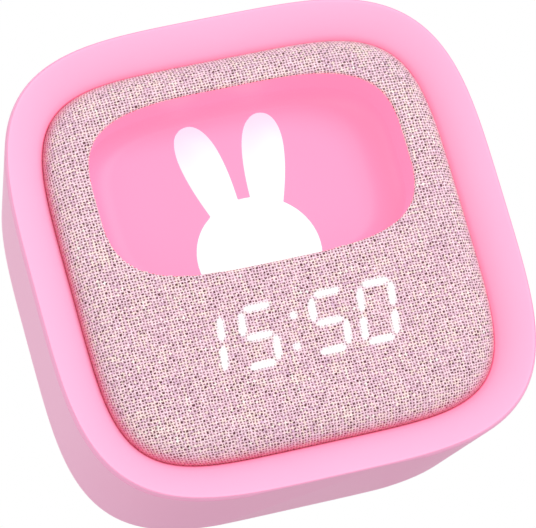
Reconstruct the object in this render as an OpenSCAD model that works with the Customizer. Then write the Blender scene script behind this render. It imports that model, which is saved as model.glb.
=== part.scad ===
// Child's alarm clock with a night light.
// A tapered soft-square case leans back on its underside. Its front is a cloth-covered frame with
// the time display behind the cloth and a lit niche above it. Keys, switch, inlet and speaker are
// at the back. Pieces are drawn upright, with the widest line of the rim in the plane y = 0, the
// front towards -Y and +Z up; stand() then leans the clock onto its base.

/* [Case] */
// Width and height across the front rim
body_w = 120; // [108:0.5:132]
// Width and height across the back edge
rear_w = 110.6; // [108:0.2:113]
// Rim plane to the back face
body_d = 46.5; // [42:0.5:56]
// Thickness of the case wall
case_wall = 2.4; // [2:0.1:2.8]
// Rounding of the front rim
rim_round = 1.5; // [1:0.1:2]
// Rounding of the back edge
rear_round = 4; // [3:0.25:5]
// Width of the dished bezel between the rim and the cloth
bezel_w = 10; // [9:0.25:10.5]
// How far the bezel drops from the rim plane to the cloth
bezel_drop = 3.5; // [3:0.25:4]
// How square the rim is: 2 is a circle, and a large number is a square
rim_square = 3.85; // [3.6:0.05:4.2]
// How square the cloth front is
front_square = 4.8; // [4.6:0.05:5.2]
// How square the back edge is
rear_square = 4; // [3.8:0.05:4.4]
// Height of the slice that makes the underside flat
base_flat = 0.35; // [0.2:0.05:0.6]

/* [Cloth front] */
// Thickness of the woven cloth
cloth_t = 0.8; // [0.5:0.1:1]
// How far the cloth stands ahead of the rim plane
cloth_rise = 2.4; // [2:0.1:3]
// Width of the rounded edge of the cloth front
cloth_round = 7.5; // [7:0.25:8]
// Thickness of the frame under the cloth
frame_t = 2; // [1.6:0.1:2.2]
// Length of the skirt behind the cloth's edge
skirt_d = 4.5; // [4:0.25:6]
// Gap between the cloth's edge and the case
cloth_gap = 0.15; // [0.1:0.05:0.3]

/* [Window and niche] */
// Side of the rim to the side of the window in the cloth
window_side = 20.6; // [20.4:0.1:23]
// Top of the rim to the top edge of the window
window_top = 19.1; // [19:0.1:21]
// Height of the window's lower edge, from the middle of the clock
window_sill = -4.6; // [-5:0.1:-3.6]
// How square the window is
window_square = 3.5; // [3.2:0.1:3.8]
// Room between the night light's screws and the battery
works_gap = 0.7; // [0.4:0.1:2]
// Thickness of the niche's wall
niche_t = 1.6; // [1.2:0.1:1.8]
// Thickness of the niche's neck inside the frame's window
neck_t = 0.8; // [0.6:0.1:1]
// Width of the concave bend at each end of the niche
niche_end = 8; // [4:0.5:10]
// Height of the concave bend at the top and floor of the niche
niche_roof = 3; // [2:0.25:4]
// Depth of those bends
niche_bend = 5; // [3:0.25:8]

/* [Night light] */
// Width of the figure's head
head_w = 31.2; // [28:0.2:33]
// Height of the whole head, of which the lower part is below the window
head_h = 29.5; // [27:0.5:31]
// Height of the middle of the head
head_z = 1.9; // [1:0.1:2.5]
// Top edge of the window to the tip of an ear
ear_drop = 3.5; // [3:0.1:6]
// Greatest width of an ear
ear_w = 10.4; // [8:0.2:11]
// Lean of each ear away from the middle
ear_tilt = 11; // [8:0.5:13]
// Thickness of the glowing figure in front of the niche's back wall
figure_t = 0.3; // [0.2:0.05:1]
// Depth of the box that spreads the lamps' light behind the figure
light_box_d = 8.8; // [8:0.1:9.4]
// Lip of the figure behind the niche's wall
figure_lip = 1.5; // [1.2:0.1:1.8]
// Count of lamps across and up the night-light board
lamp_rows = [3, 3]; // [1:1:4]

/* [Display] */
// Height of a digit
digit_h = 15.9; // [13:0.1:16.4]
// Width of a digit
digit_w = 9.6; // [8:0.1:10]
// Thickness of a segment
segment_t = 1.6; // [1.2:0.1:1.8]
// Lean of the digits
digit_slant = 9; // [6:0.2:12]
// Distance between the first two digits
first_pitch = 13.4; // [12:0.1:13.6]
// Distance between the last two digits
digit_pitch = 12.3; // [11.8:0.1:12.6]
// Distance between the inner digits of the two pairs
pair_pitch = 17.8; // [17:0.1:18.4]
// Place of the middle between the two pairs, beside the middle of the clock
display_x = -0.7; // [-1:0.1:0]
// Height of the middle of the display
display_z = -22.2; // [-24:0.1:-21]
// How far the colon sits below the middle of the digits
colon_drop = 0.6; // [0:0.1:1]
// Depth of the display block
display_d = 8; // [7:0.25:9]

/* [Controls] */
// Diameter of the small keys
key_d = 9; // [8:0.25:10]
// Diameter of the night-light key
light_key_d = 14; // [12:0.25:15]
// Distance between the small keys
key_pitch = 16; // [15:0.25:17]
// Height of the row of small keys
key_row_z = 20; // [19.5:0.25:21]
// Height of the night-light key
light_key_z = 34; // [33.5:0.25:34.5]
// How far a key stands out of the back cover
key_proud = 0.8; // [0.5:0.1:1.2]
// Travel of a key
key_travel = 0.5; // [0.3:0.05:0.6]
// Clearance round a key in its hole
key_fit = 0.3; // [0.2:0.05:0.4]
// Travel of the power slider
slider_travel = 3; // [2:0.25:3.5]
// Distance of the slider and of the inlet from the middle
port_x = 22; // [20:0.5:23]
// Height of the slider and of the inlet
port_z = 5; // [4:0.5:6]

/* [Back cover] */
// Thickness of the back cover
cover_t = 2.4; // [2:0.1:2.6]
// Gap round the back cover
cover_gap = 0.3; // [0.2:0.05:0.4]
// Width of the ledge that the back cover sits on
ledge_w = 2; // [1.5:0.1:2.5]
// Radius of the case's screw bosses
boss_r = 3.75; // [3.5:0.05:4]
// Distance of the bosses from the side of the case's back opening
boss_inset = 11.3; // [11:0.1:12]

/* [Speaker] */
// Diameter of the speaker
speaker_d = 36; // [32:0.5:37]
// Height of the speaker's middle
speaker_z = -24; // [-26:0.5:-24]
// Depth of the speaker's basket
basket_d = 7; // [6:0.5:8]
// Diameter of a hole in the grille
grille_hole = 2.2; // [1.6:0.1:2.4]
// Distance between the grille's holes
grille_pitch = 4.2; // [3.8:0.1:4.6]

/* [Boards and battery] */
// Width, height and thickness of the main board
board_size = [68, 51, 1.6]; // [1:0.1:80]
// Height of the main board's middle
board_z = 18.5; // [18:0.25:19]
// Back cover's inner face to the main board
board_gap = 8.4; // [8:0.1:9]
// Width, height and thickness of the battery
battery_size = [50, 32, 6]; // [1:0.5:60]
// Thickness of the foam pad behind the battery
pad_t = 1; // [0.6:0.1:1.2]
// Thickness of the small boards
small_board_t = 1.2; // [1:0.1:1.6]
// Thickness of a small screw's head
small_head_t = 1.2; // [1:0.1:1.4]

/* [Hidden] */

ring_n = 96;        // points round each swept section
corner_pull = 5.5;  // degrees by which those points are drawn towards the corners
eps = 0.01;         // overlap of pieces that are cut or joined

// Case
rim_half = body_w / 2;
rear_half = rear_w / 2;
rear_mid_y = body_d - rear_round;
taper = (rim_half - rear_half) / rear_mid_y;
lean = atan(taper);
crease_half = rim_half - bezel_w;
flange_t = 2;
flange_w = 4.5;
flange_y = bezel_drop + skirt_d;
flange_y1 = flange_y + flange_t;
cover_y = body_d - cover_t;
opening_half = rear_half - rear_round;
boss_xz = opening_half - boss_inset;
boss_pilot_r = 1.3;
boss_pilot_d = 12;
rib_t = 2;

// Cloth front
front_half = crease_half - cloth_gap;
dome_n = 4.4;       // squareness where the rounded edge of the cloth meets its flat face
frame_y = cloth_t - cloth_rise;
frame_back_y = frame_y + frame_t;
skirt_half = front_half - cloth_t;
frame_screw_x = 24;
frame_screw_z = skirt_half - frame_t - 0.8;
frame_boss_r = 2.4;

// Boards and battery
board_y1 = cover_y - board_gap;
board_y = board_y1 - board_size[2];
pad_y = board_y - pad_t;
battery_y = pad_y - battery_size[2];
battery_z = 15.5;
post_r = 2.6;
post_pilot_r = 1.1;
post_edge = 4;      // middle of a post from the edge of the main board
post_x = board_size[0] / 2 - post_edge;
post_dz = board_size[1] / 2 - post_edge;

// Window and niche
window_w = body_w - 2 * window_side;
window_h = rim_half - window_top - window_sill;
window_z = window_sill + window_h / 2;
niche_gap = 0.1;    // glue line between the frame and the niche's flange
niche_y = frame_back_y + niche_gap;
neck_y = frame_y + niche_gap;
neck_fit = 0.1;     // clearance between the neck and the frame's window
lip_t = 1.2;
light_d = niche_t + niche_gap + lip_t + light_box_d + small_board_t + small_head_t;
niche_back_y = battery_y - works_gap - light_d;
niche_bend_y = niche_back_y - niche_bend;
niche_flange_w = 1.9;
niche_flange_t = 1.6;

// Night light
figure_y = niche_back_y - figure_t;
lip_y = niche_back_y + niche_t + niche_gap;
ear_x = 5.2;
ear_sink = 3.6;     // middle of an ear's root below the top of the head
ear_z = head_z + head_h / 2 - ear_sink;
ear_l = (rim_half - window_top - ear_drop - ear_z) / cos(ear_tilt);
ear_root_w = 0.7;   // width of the ear's root, as a share of its greatest width
ear_belly = 0.58;   // place of the greatest width, as a share of the ear's length
ear_tip_n = 2.25;   // squareness of the ear's tip: 2 is an ellipse
figure_fit = 0.15;
figure_blend = 0.3;
floor_z = window_sill + 1.2;
light_box_t = 1.4;
light_box_half = head_w / 2 + figure_lip + light_box_t + 0.6;
light_box_y = lip_y + lip_t;
lamp_board_y = light_box_y + light_box_d;
light_box_z0 = floor_z - figure_lip - light_box_t - 0.4;
light_box_z1 = rim_half - window_top + 0.6;
lamp_board_half = 27;
lamp_post_x = 23.4;
lamp_post_r = 2.3;
lamp_post_dz = 7;
lamp_size = [3.5, 1.2, 2.8];
lamp_pitch = [11, 12];

// Display
display_w = pair_pitch + first_pitch + digit_pitch + digit_w + 6.5;
display_h = digit_h + 4;
display_y = frame_y + 0.3;
segment_d = 0.25;
segment_gap = 0.3;
display_fit = 0.2;
display_board_y = display_y + display_d;
display_board_size = [72, 24];
display_post = [33.2, 9.2];
display_post_r = 2.2;
colon_r = 0.95;
colon_dz = 3.9;

// Keys and switches: name, x, z and radius of each key
KEYS = [["light", 0, light_key_z, light_key_d / 2],
    ["alarm", -1.5 * key_pitch, key_row_z, key_d / 2],
    ["set", -0.5 * key_pitch, key_row_z, key_d / 2],
    ["minus", 0.5 * key_pitch, key_row_z, key_d / 2],
    ["plus", 1.5 * key_pitch, key_row_z, key_d / 2]];
key_flange_w = 1.2;
key_flange_t = 1.2;
key_flange_gap = 0.2;
key_stem_r = 2.5;
key_corner = 0.6;
switch_size = [6, 3.5, 6];
plunger_r = 1.7;
plunger_fit = 0.08;
plunger_d = 1.6;    // plunger above the switch's body
plunger_in = 1;     // plunger inside the switch's body at rest
switch_top_y = board_y1 + switch_size[1];
plunger_y1 = switch_top_y + plunger_d;
slider_cap = [5, 4.6];
slider_flange = [13, 8];
slider_proud = 0.6;
slider_fit = 0.3;
slider_stem = [2, 1.6];
slide_switch_size = [9.4, 3.6, 4.4];
usb_size = [9, 3.3];
usb_wall = 0.3;
usb_d = cover_y + 1.2 - board_y1;
usb_fit = 0.3;

// Speaker
gasket_t = 0.8;
gasket_w = 3;
speaker_flange_t = 1.2;
speaker_r = speaker_d / 2;
basket_r = speaker_r - 6;
magnet_inset = 1;
magnet_r = basket_r - magnet_inset;
magnet_d = 6;
ring_wall_t = 1.6;
ring_wall_d = 4;
speaker_fit = 0.3;
speaker_y = cover_y - gasket_t - speaker_flange_t;
basket_y = speaker_y - basket_d;
basket_wall = 0.8;
coil_r = 4;
coil_y = speaker_y - 3;
cone_t = 0.6;
cone_edge = 2;      // width of the cone's flat edge
pole_fit = 0.4;     // gap between the magnet's pole and the basket
pole_gap = 0.2;     // gap between the pole and the cone
tag_d = 2;          // speaker's solder tag beyond and behind the basket

// Screws
screw_head_r = 2.7;
screw_head_t = 1.3;
screw_r = 1.25;
small_head_r = 1.9;
small_screw_r = 1;
socket_r = 1;
socket_d = 0.6;
socket_w = 0.5;

// Where the leaned clock reaches forwards and backwards, for the middle of its box
front_reach = -(rim_half - rim_round) * sin(lean) - rim_round;
rear_reach = rear_mid_y * cos(lean) + (rear_half - rear_round) * sin(lean) + rear_round;
mid_reach = (front_reach + rear_reach) / 2;
stand_height = rim_half * cos(lean) - base_flat;

// Leans the clock onto its base and puts the middle of the footprint at the origin
module stand() {
    translate([0, -mid_reach, stand_height]) rotate([-lean, 0, 0]) children();
}

// Plate drawn face-on, from y0 back to y1
module plate(y0, y1) {
    translate([0, y1, 0]) rotate([90, 0, 0]) linear_extrude(y1 - y0) children();
}

// Round rod along Y at x, z
module rod(x, z, y0, y1, r, sides = 48) {
    translate([x, y1, z]) rotate([90, 0, 0]) cylinder(h = y1 - y0, r = r, $fn = sides);
}

// Block from its middle in x and z, and its front and back in y
module block(x, z, w, h, y0, y1) {
    translate([x - w / 2, y0, z - h / 2]) cube([w, y1 - y0, h]);
}

// Soft-square section: half width, half height, squareness, depth and height of its middle
function soft_square(a, b, n, y, z0 = 0) = [for (i = [0 : ring_n - 1])
    let (t = i * 360 / ring_n, p = t + corner_pull * sin(4 * t), c = cos(p), s = sin(p))
    let (r = pow(pow(abs(c), n) + pow(abs(s), n), -1 / n))
    [a * r * c, y, z0 + b * r * s]];

// The same outline as a flat shape
module soft_face(a, b, n, z0 = 0) {
    polygon([for (p = soft_square(a, b, n, 0, z0)) [p[0], p[2]]]);
}

// Solid whose surface runs through a closed loop of sections
module ring_solid(rings) {
    n = len(rings[0]);
    m = len(rings);
    polyhedron([for (r = rings) each r], [for (k = [0 : m - 1]) for (i = [0 : n - 1])
        let (a = k * n + i, b = k * n + (i + 1) % n)
        let (c = ((k + 1) % m) * n + (i + 1) % n, d = ((k + 1) % m) * n + i)
        each [[a, c, b], [a, d, c]]]);
}

// Section of the case at a given half width and depth; its squareness runs from rim to back
function case_n(y) = rim_square + (rear_square - rim_square) * min(max(y / rear_mid_y, 0), 1);
function case_ring(half, y, n) = soft_square(half, half, n, y);
function wall_half(y) = rim_half - taper * y;

function housing_rings() = let (
    arc = [0 : 22.5 : 90],
    core = crease_half + case_wall,
    roof_y = bezel_drop + case_wall + 0.6,
    inner_y = 5,
    ledge_half = opening_half - ledge_w)
    concat(
    [for (t = arc) case_ring(opening_half + rear_round * sin(t), rear_mid_y + rear_round * cos(t),
        rear_square)],
    [for (u = [0.75, 0.5, 0.25]) case_ring(wall_half(u * rear_mid_y), u * rear_mid_y,
        case_n(u * rear_mid_y))],
    [for (t = [90 : -22.5 : 0]) case_ring(rim_half - rim_round + rim_round * sin(t),
        -rim_round * cos(t), rim_square)],
    [for (u = [0.2 : 0.2 : 1]) let (half = rim_half - rim_round - u * (bezel_w - rim_round))
        case_ring(half, -rim_round + (bezel_drop + rim_round) * (0.55 * u + 0.45 * u * u),
        rim_square + (front_square - rim_square) * u)],
    [case_ring(crease_half, flange_y, front_square),
        case_ring(crease_half - flange_w, flange_y, front_square),
        case_ring(crease_half - flange_w, flange_y1, front_square),
        case_ring(core, flange_y1, front_square),
        case_ring(core, roof_y, front_square),
        case_ring(wall_half(inner_y) - case_wall, inner_y, case_n(inner_y)),
        case_ring(wall_half(cover_y - 9) - case_wall, cover_y - 9, case_n(cover_y - 9)),
        case_ring(ledge_half, cover_y - 2.6, rear_square),
        case_ring(ledge_half, cover_y, rear_square),
        case_ring(opening_half, cover_y, rear_square)]);

module at_corners(x, z) {
    for (i = [-1, 1]) for (j = [-1, 1]) translate([i * x, 0, j * z]) children();
}

// Rib from a corner boss out into the tapering wall, drawn along +X
function corner_reach(y) = (wall_half(y) - case_wall / 2) * sqrt(2) * pow(2, -1 / case_n(y));
module boss_rib() {
    y1 = cover_y - 9;
    centre = boss_xz * sqrt(2);
    translate([0, 0, -rib_t / 2]) linear_extrude(rib_t) polygon([[centre, flange_y1 - eps],
        [corner_reach(flange_y1), flange_y1 - eps], [corner_reach(y1), y1], [centre, y1]]);
}

module housing() {
    stand() color("#f9a9cd") difference() {
        union() {
            ring_solid(housing_rings());
            at_corners(boss_xz, boss_xz) rod(0, 0, flange_y1 - eps, cover_y, boss_r);
            for (q = [45, 135, 225, 315]) rotate([0, q, 0]) boss_rib();
            at_corners(frame_screw_x, frame_screw_z)
                rod(0, 0, flange_y, flange_y1, frame_boss_r + 1);
        }
        at_corners(boss_xz, boss_xz) rod(0, 0, cover_y - boss_pilot_d, cover_y + eps, boss_pilot_r);
        at_corners(frame_screw_x, frame_screw_z)
            rod(0, 0, flange_y - 1, flange_y1 + 1, small_screw_r + 0.2);
        rotate([lean, 0, 0]) translate([-body_w, -body_w, -stand_height - body_w])
            cube([2 * body_w, 3 * body_w, body_w]);
    }
}

// Rounded front of the cloth, drawn inwards by the given depth
function dome_rings(inset, from, step) = [for (t = [from : step : 90])
    soft_square(front_half - cloth_round + (cloth_round - inset) * cos(t),
        front_half - cloth_round + (cloth_round - inset) * cos(t),
        front_square + (dome_n - front_square) * t / 90,
        bezel_drop - (bezel_drop + cloth_rise - inset) * sin(t))];
function window_ring(grow, y) = soft_square(window_w / 2 + grow, window_h / 2 + grow,
    window_square, y, window_z);
function skirt_ring(inset, y) = case_ring(front_half - inset, y, front_square);
function reversed(list) = [for (i = [len(list) - 1 : -1 : 0]) list[i]];

module fabric_cover() {
    stand() color("#e3bcc8") ring_solid(concat(
        [skirt_ring(0, flange_y - 0.4)],
        dome_rings(0, 0, 11.25),
        [window_ring(0, -cloth_rise), window_ring(0, frame_y)],
        reversed(dome_rings(cloth_t, 0, 11.25)),
        [skirt_ring(cloth_t, flange_y - 0.4)]));
}

module grille_frame() {
    inner = cloth_t + frame_t;
    stand() color("#d9d4d0") difference() {
        union() {
            ring_solid(concat(
                [skirt_ring(cloth_t, flange_y)],
                dome_rings(cloth_t, 0, 11.25),
                [window_ring(neck_t + neck_fit, frame_y),
                    window_ring(neck_t + neck_fit, frame_back_y)],
                reversed(dome_rings(inner, 0, 22.5)),
                [skirt_ring(inner, flange_y)]));
            at_corners(frame_screw_x, frame_screw_z)
                rod(0, 0, bezel_drop - 1, flange_y, frame_boss_r);
            translate([0, 0, display_z]) at_corners(display_post[0], display_post[1])
                rod(0, 0, frame_back_y - 1, display_board_y, display_post_r);
        }
        block(0, display_z, display_w + 2 * display_fit, display_h + 2 * display_fit,
            frame_y - 1, frame_back_y + 1);
        at_corners(frame_screw_x, frame_screw_z)
            rod(0, 0, bezel_drop, flange_y + 1, small_screw_r + 0.05);
        translate([0, 0, display_z]) at_corners(display_post[0], display_post[1])
            rod(0, 0, display_board_y - 5, display_board_y + 1, small_screw_r + 0.05);
    }
}

// Ear drawn root down, as a leaf with a round tip
function ear_side() = concat(
    [for (u = [0 : 0.1 : 0.9]) [ear_w / 2 * (ear_root_w + (1 - ear_root_w) * sin(90 * u)),
        u * ear_belly * ear_l]],
    [for (t = [0 : 7.5 : 90]) [ear_w / 2 * pow(cos(t), 2 / ear_tip_n),
        ear_l * (ear_belly + (1 - ear_belly) * pow(sin(t), 2 / ear_tip_n))]]);
module ear() {
    side = ear_side();
    polygon(concat(side, [for (p = reversed(side)) if (p[0] > 0.001) [-p[0], p[1]]]));
}

// Outline of the figure: a round head cut off at the niche's floor, with two upright ears
module figure_face(grow) {
    offset(r = grow) intersection() {
        offset(r = -figure_blend, $fn = 32) offset(r = figure_blend, $fn = 32) {
            translate([0, head_z]) scale([head_w / head_h, 1]) circle(d = head_h, $fn = 64);
            for (i = [-1, 1]) translate([i * ear_x, ear_z])
                rotate(-i * ear_tilt) ear();
        }
        translate([-head_w, floor_z]) square([2 * head_w, 2 * window_h]);
    }
}

// Concave bend between the niche's wall and its back
function niche_rings(wall) = [for (t = [0 : 15 : 90])
    soft_square(window_w / 2 - niche_end * (1 - cos(t)) + wall * cos(t),
        window_h / 2 - niche_roof * (1 - cos(t)) + wall * cos(t), window_square,
        niche_bend_y + (niche_bend + wall) * sin(t), window_z)];
module niche_shell() {
    stand() color("#ff9cc8") difference() {
        union() {
            niche_bowl();
            translate([0, 0, window_z]) at_corners(lamp_post_x, lamp_post_dz)
                rod(0, 0, niche_back_y + niche_t - 0.6, lamp_board_y, lamp_post_r);
        }
        plate(niche_y, niche_back_y + niche_t + 1) figure_face(figure_fit);
        translate([0, 0, window_z]) at_corners(lamp_post_x, lamp_post_dz)
            rod(0, 0, niche_back_y + niche_t + 0.2, lamp_board_y + 1, small_screw_r + 0.05);
    }
}

// Bowl of the niche with its neck and flange, closed at the back
module niche_bowl() {
    rings = concat(reversed(niche_rings(0)), [window_ring(0, neck_y), window_ring(neck_t, neck_y),
        window_ring(neck_t, niche_y), window_ring(niche_flange_w, niche_y),
        window_ring(niche_flange_w, niche_y + niche_flange_t),
        window_ring(niche_t, niche_y + niche_flange_t)], niche_rings(niche_t));
    n = ring_n;
    m = len(rings);
    polyhedron([for (r = rings) each r], concat([[for (i = [n - 1 : -1 : 0]) i]],
        [for (k = [0 : m - 2]) for (i = [0 : n - 1])
            let (a = k * n + i, b = k * n + (i + 1) % n)
            let (c = (k + 1) * n + (i + 1) % n, d = (k + 1) * n + i)
            each [[a, b, c], [a, c, d]]],
        [[for (i = [0 : n - 1]) (m - 1) * n + i]]));
}

module night_light_figure() {
    stand() color("#fdfafc") {
        plate(figure_y, lip_y + eps) figure_face(0);
        plate(lip_y, lip_y + lip_t) figure_face(figure_lip);
    }
}

module light_box() {
    mid_z = (light_box_z0 + light_box_z1) / 2;
    tall = light_box_z1 - light_box_z0;
    stand() color("#f4f4f4") difference() {
        block(0, mid_z, 2 * light_box_half, tall, light_box_y, lamp_board_y);
        block(0, mid_z, 2 * (light_box_half - light_box_t), tall - 2 * light_box_t,
            light_box_y - 1, lamp_board_y + 1);
    }
}

module night_light_board() {
    stand() color("#e9efe6") difference() {
        block(0, (light_box_z0 + light_box_z1) / 2, 2 * lamp_board_half,
            light_box_z1 - light_box_z0 + 1, lamp_board_y, lamp_board_y + small_board_t);
        translate([0, 0, window_z]) at_corners(lamp_post_x, lamp_post_dz)
            rod(0, 0, lamp_board_y - 1, lamp_board_y + small_board_t + 1, small_screw_r + 0.1);
    }
}

module night_light_leds() {
    stand() color("#fff3c9") for (i = [0 : lamp_rows[0] - 1]) for (j = [0 : lamp_rows[1] - 1])
        block((i - (lamp_rows[0] - 1) / 2) * lamp_pitch[0],
            window_z + (j - (lamp_rows[1] - 1) / 2) * lamp_pitch[1],
            lamp_size[0], lamp_size[2], lamp_board_y - lamp_size[1], lamp_board_y);
}

// Pan-head screw along Y with a cross recess; its head's outer face is at y, facing side
module screw(y, side, head_r, head_t, shank_r, long) {
    translate([0, y, 0]) rotate([side > 0 ? 90 : -90, 0, 0]) difference() {
        union() {
            cylinder(h = head_t, r = head_r, $fn = 32);
            translate([0, 0, head_t - eps]) cylinder(h = long + eps, r = shank_r, $fn = 32);
        }
        for (q = [0, 90]) rotate(q) translate([-socket_r, -socket_w / 2, -1])
            cube([2 * socket_r, socket_w, 1 + socket_d]);
    }
}

module night_light_screws() {
    stand() color("silver") translate([0, 0, window_z]) at_corners(lamp_post_x, lamp_post_dz)
        screw(lamp_board_y + small_board_t + small_head_t, 1, small_head_r, small_head_t,
            small_screw_r, small_board_t + lamp_board_y - niche_back_y - niche_t - 0.6);
}

// One segment, lying or standing, as a bar with pointed ends
function lying(z, half) = let (t = segment_t / 2, e = half - segment_gap)
    [[-e, z], [t - e, z + t], [e - t, z + t], [e, z], [e - t, z - t], [t - e, z - t]];
function standing(x, z0, z1) = let (t = segment_t / 2, a = z0 + segment_gap, b = z1 - segment_gap)
    [[x, a], [x + t, a + t], [x + t, b - t], [x, b], [x - t, b - t], [x - t, a + t]];
function slanted(points) = [for (p = points) [p[0] + p[1] * tan(digit_slant), p[1]]];
module digit() {
    x = (digit_w - segment_t) / 2;
    z = (digit_h - segment_t) / 2;
    for (k = [-1, 0, 1]) polygon(slanted(lying(k * z, x)));
    for (i = [-1, 1]) for (k = [0, -1]) polygon(slanted(standing(i * x, k * z, (k + 1) * z)));
}

digit_places = [-pair_pitch / 2 - first_pitch, -pair_pitch / 2, pair_pitch / 2,
    pair_pitch / 2 + digit_pitch];
module display_segments() {
    stand() color("#fff7fb") plate(display_y - segment_d, display_y)
        translate([display_x, display_z]) {
            for (x = digit_places) translate([x, 0]) digit();
            for (k = [-1, 1]) translate([k * colon_dz * tan(digit_slant),
                k * colon_dz - colon_drop]) circle(r = colon_r, $fn = 24);
        }
}

module display_block() {
    stand() color("#efe9ea")
        block(0, display_z, display_w, display_h, display_y, display_board_y);
}

module display_board() {
    stand() color("#3f7a52") difference() {
        block(0, display_z, display_board_size[0], display_board_size[1], display_board_y,
            display_board_y + small_board_t);
        translate([0, 0, display_z]) at_corners(display_post[0], display_post[1])
            rod(0, 0, display_board_y - 1, display_board_y + small_board_t + 1, small_screw_r + 0.1);
    }
}

module display_screws() {
    stand() color("silver") translate([0, 0, display_z])
        at_corners(display_post[0], display_post[1])
        screw(display_board_y + small_board_t + small_head_t, 1, small_head_r, small_head_t,
            small_screw_r, small_board_t + 4);
}

module frame_screws() {
    stand() color("silver") at_corners(frame_screw_x, frame_screw_z)
        screw(flange_y1 + small_head_t, 1, small_head_r, small_head_t, small_screw_r,
            flange_t + skirt_d - 0.8);
}

// Flat cable from the display board to the lower edge of the main board
ribbon_w = 14;
ribbon_t = 0.3;
ribbon_clear = 3;   // room under the night light for the flat cable
ribbon_socket = [17, 2.4, 4];
ribbon_inset = 3;   // middle of a socket from the edge of its board
ribbon_run = 2;     // straight run of the flat cable out of the lower socket
ribbon_z0 = display_z + display_board_size[1] / 2 - ribbon_inset;
ribbon_z1 = board_z - board_size[1] / 2 + ribbon_inset;
ribbon_y0 = display_board_y + small_board_t + ribbon_socket[1];
ribbon_y1 = board_y - ribbon_socket[1];
module display_ribbon() {
    run = [[ribbon_y0, ribbon_z0], [ribbon_y0 + ribbon_run, ribbon_z0],
        [lamp_board_y + small_board_t + ribbon_run / 2, light_box_z0 - ribbon_clear],
        [ribbon_y1 - ribbon_run / 2, ribbon_z1], [ribbon_y1, ribbon_z1]];
    stand() color("#f2f2f2") translate([ribbon_w / 2, 0, 0]) rotate([90, 0, -90])
        linear_extrude(ribbon_w) polygon(concat([for (p = run) [-p[0], p[1]]],
            [for (p = reversed(run)) [-p[0], p[1] + ribbon_t]]));
}

module ribbon_sockets() {
    stand() color("#f6efe2") {
        block(0, ribbon_z0 + ribbon_t / 2, ribbon_socket[0], ribbon_socket[2],
            ribbon_y0 - ribbon_socket[1], ribbon_y0);
        block(0, ribbon_z1 + ribbon_t / 2, ribbon_socket[0], ribbon_socket[2], ribbon_y1, board_y);
    }
}

module main_board() {
    stand() color("#2f6b45") difference() {
        block(0, board_z, board_size[0], board_size[1], board_y, board_y1);
        translate([0, 0, board_z]) at_corners(post_x, post_dz)
            rod(0, 0, board_y - 1, board_y1 + 1, small_screw_r + 0.1);
    }
}

chip_size = [10, 1.4, 10];
chip_x = -4;
crystal_size = [2, 1.2, 5];
crystal_x = 7;
module controller_chip() {
    stand() color("#26262a") block(chip_x, port_z, chip_size[0], chip_size[2], board_y1,
        board_y1 + chip_size[1]);
}
module clock_crystal() {
    stand() color("silver") block(crystal_x, port_z, crystal_size[0], crystal_size[2], board_y1,
        board_y1 + crystal_size[1]);
}

// Flat oval, wider than it is tall
module oval(w, h) {
    square([w - h, h], center = true);
    for (i = [-1, 1]) translate([i * (w - h) / 2, 0]) circle(d = h, $fn = 32);
}

module usb_socket() {
    stand() color("silver") {
        plate(board_y1, board_y1 + 1) translate([port_x, port_z]) oval(usb_size[0], usb_size[1]);
        plate(board_y1 + 1 - eps, board_y1 + usb_d) translate([port_x, port_z]) difference() {
            oval(usb_size[0], usb_size[1]);
            oval(usb_size[0] - 2 * usb_wall, usb_size[1] - 2 * usb_wall);
        }
        block(port_x, port_z, 6.7, 0.7, board_y1 + 1 - eps, board_y1 + usb_d - 1);
    }
}

module tact_switches() {
    stand() color("#3a3a3e") for (k = KEYS) difference() {
        block(k[1], k[2], switch_size[0], switch_size[2], board_y1, switch_top_y);
        rod(k[1], k[2], switch_top_y - plunger_in - key_travel - 0.3, switch_top_y + 1,
            plunger_r + plunger_fit);
    }
}

module slide_switch() {
    slot_w = slider_stem[0] + slider_travel + 2 * slider_fit;
    stand() color("#c9ccd0") difference() {
        block(-port_x, port_z, slide_switch_size[0], slide_switch_size[2], board_y1,
            board_y1 + slide_switch_size[1]);
        block(-port_x, port_z, slot_w, slider_stem[1] + 2 * slider_fit,
            board_y1 + slide_switch_size[1] - 1.6, board_y1 + slide_switch_size[1] + 1);
    }
}

module battery() {
    stand() color("#b9bec6") {
        block(0, battery_z, battery_size[0], battery_size[1], battery_y, pad_y);
        block(0, battery_z + battery_size[1] / 2 + 1.2, battery_size[0] - 8, 2.4 + eps,
            pad_y - 2, pad_y - 0.6);
    }
}

module battery_pad() {
    stand() color("#4a4a4e") block(0, battery_z, battery_size[0] - 10, battery_size[1] - 8,
        pad_y, board_y);
}

// Tube through a list of points, closed at both ends
wire_sides = 8;
function unit(v) = v / norm(v);
function heading(path, k) = unit(path[min(k + 1, len(path) - 1)] - path[max(k - 1, 0)]);
function tube_ring(path, k, r, side) = let (h = heading(path, k), u = unit(cross(h, side)),
    v = cross(h, u)) [for (i = [0 : wire_sides - 1])
    path[k] + r * (cos(i * 360 / wire_sides) * u + sin(i * 360 / wire_sides) * v)];
module tube(path, r, side) {
    n = wire_sides;
    m = len(path);
    polyhedron([for (k = [0 : m - 1]) each tube_ring(path, k, r, side)], concat(
        [[for (i = [n - 1 : -1 : 0]) i]],
        [for (k = [0 : m - 2]) for (i = [0 : n - 1])
            let (a = k * n + i, b = k * n + (i + 1) % n)
            let (c = (k + 1) * n + (i + 1) % n, d = (k + 1) * n + i)
            each [[a, b, c], [a, c, d]]],
        [[for (i = [0 : n - 1]) (m - 1) * n + i]]));
}
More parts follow.
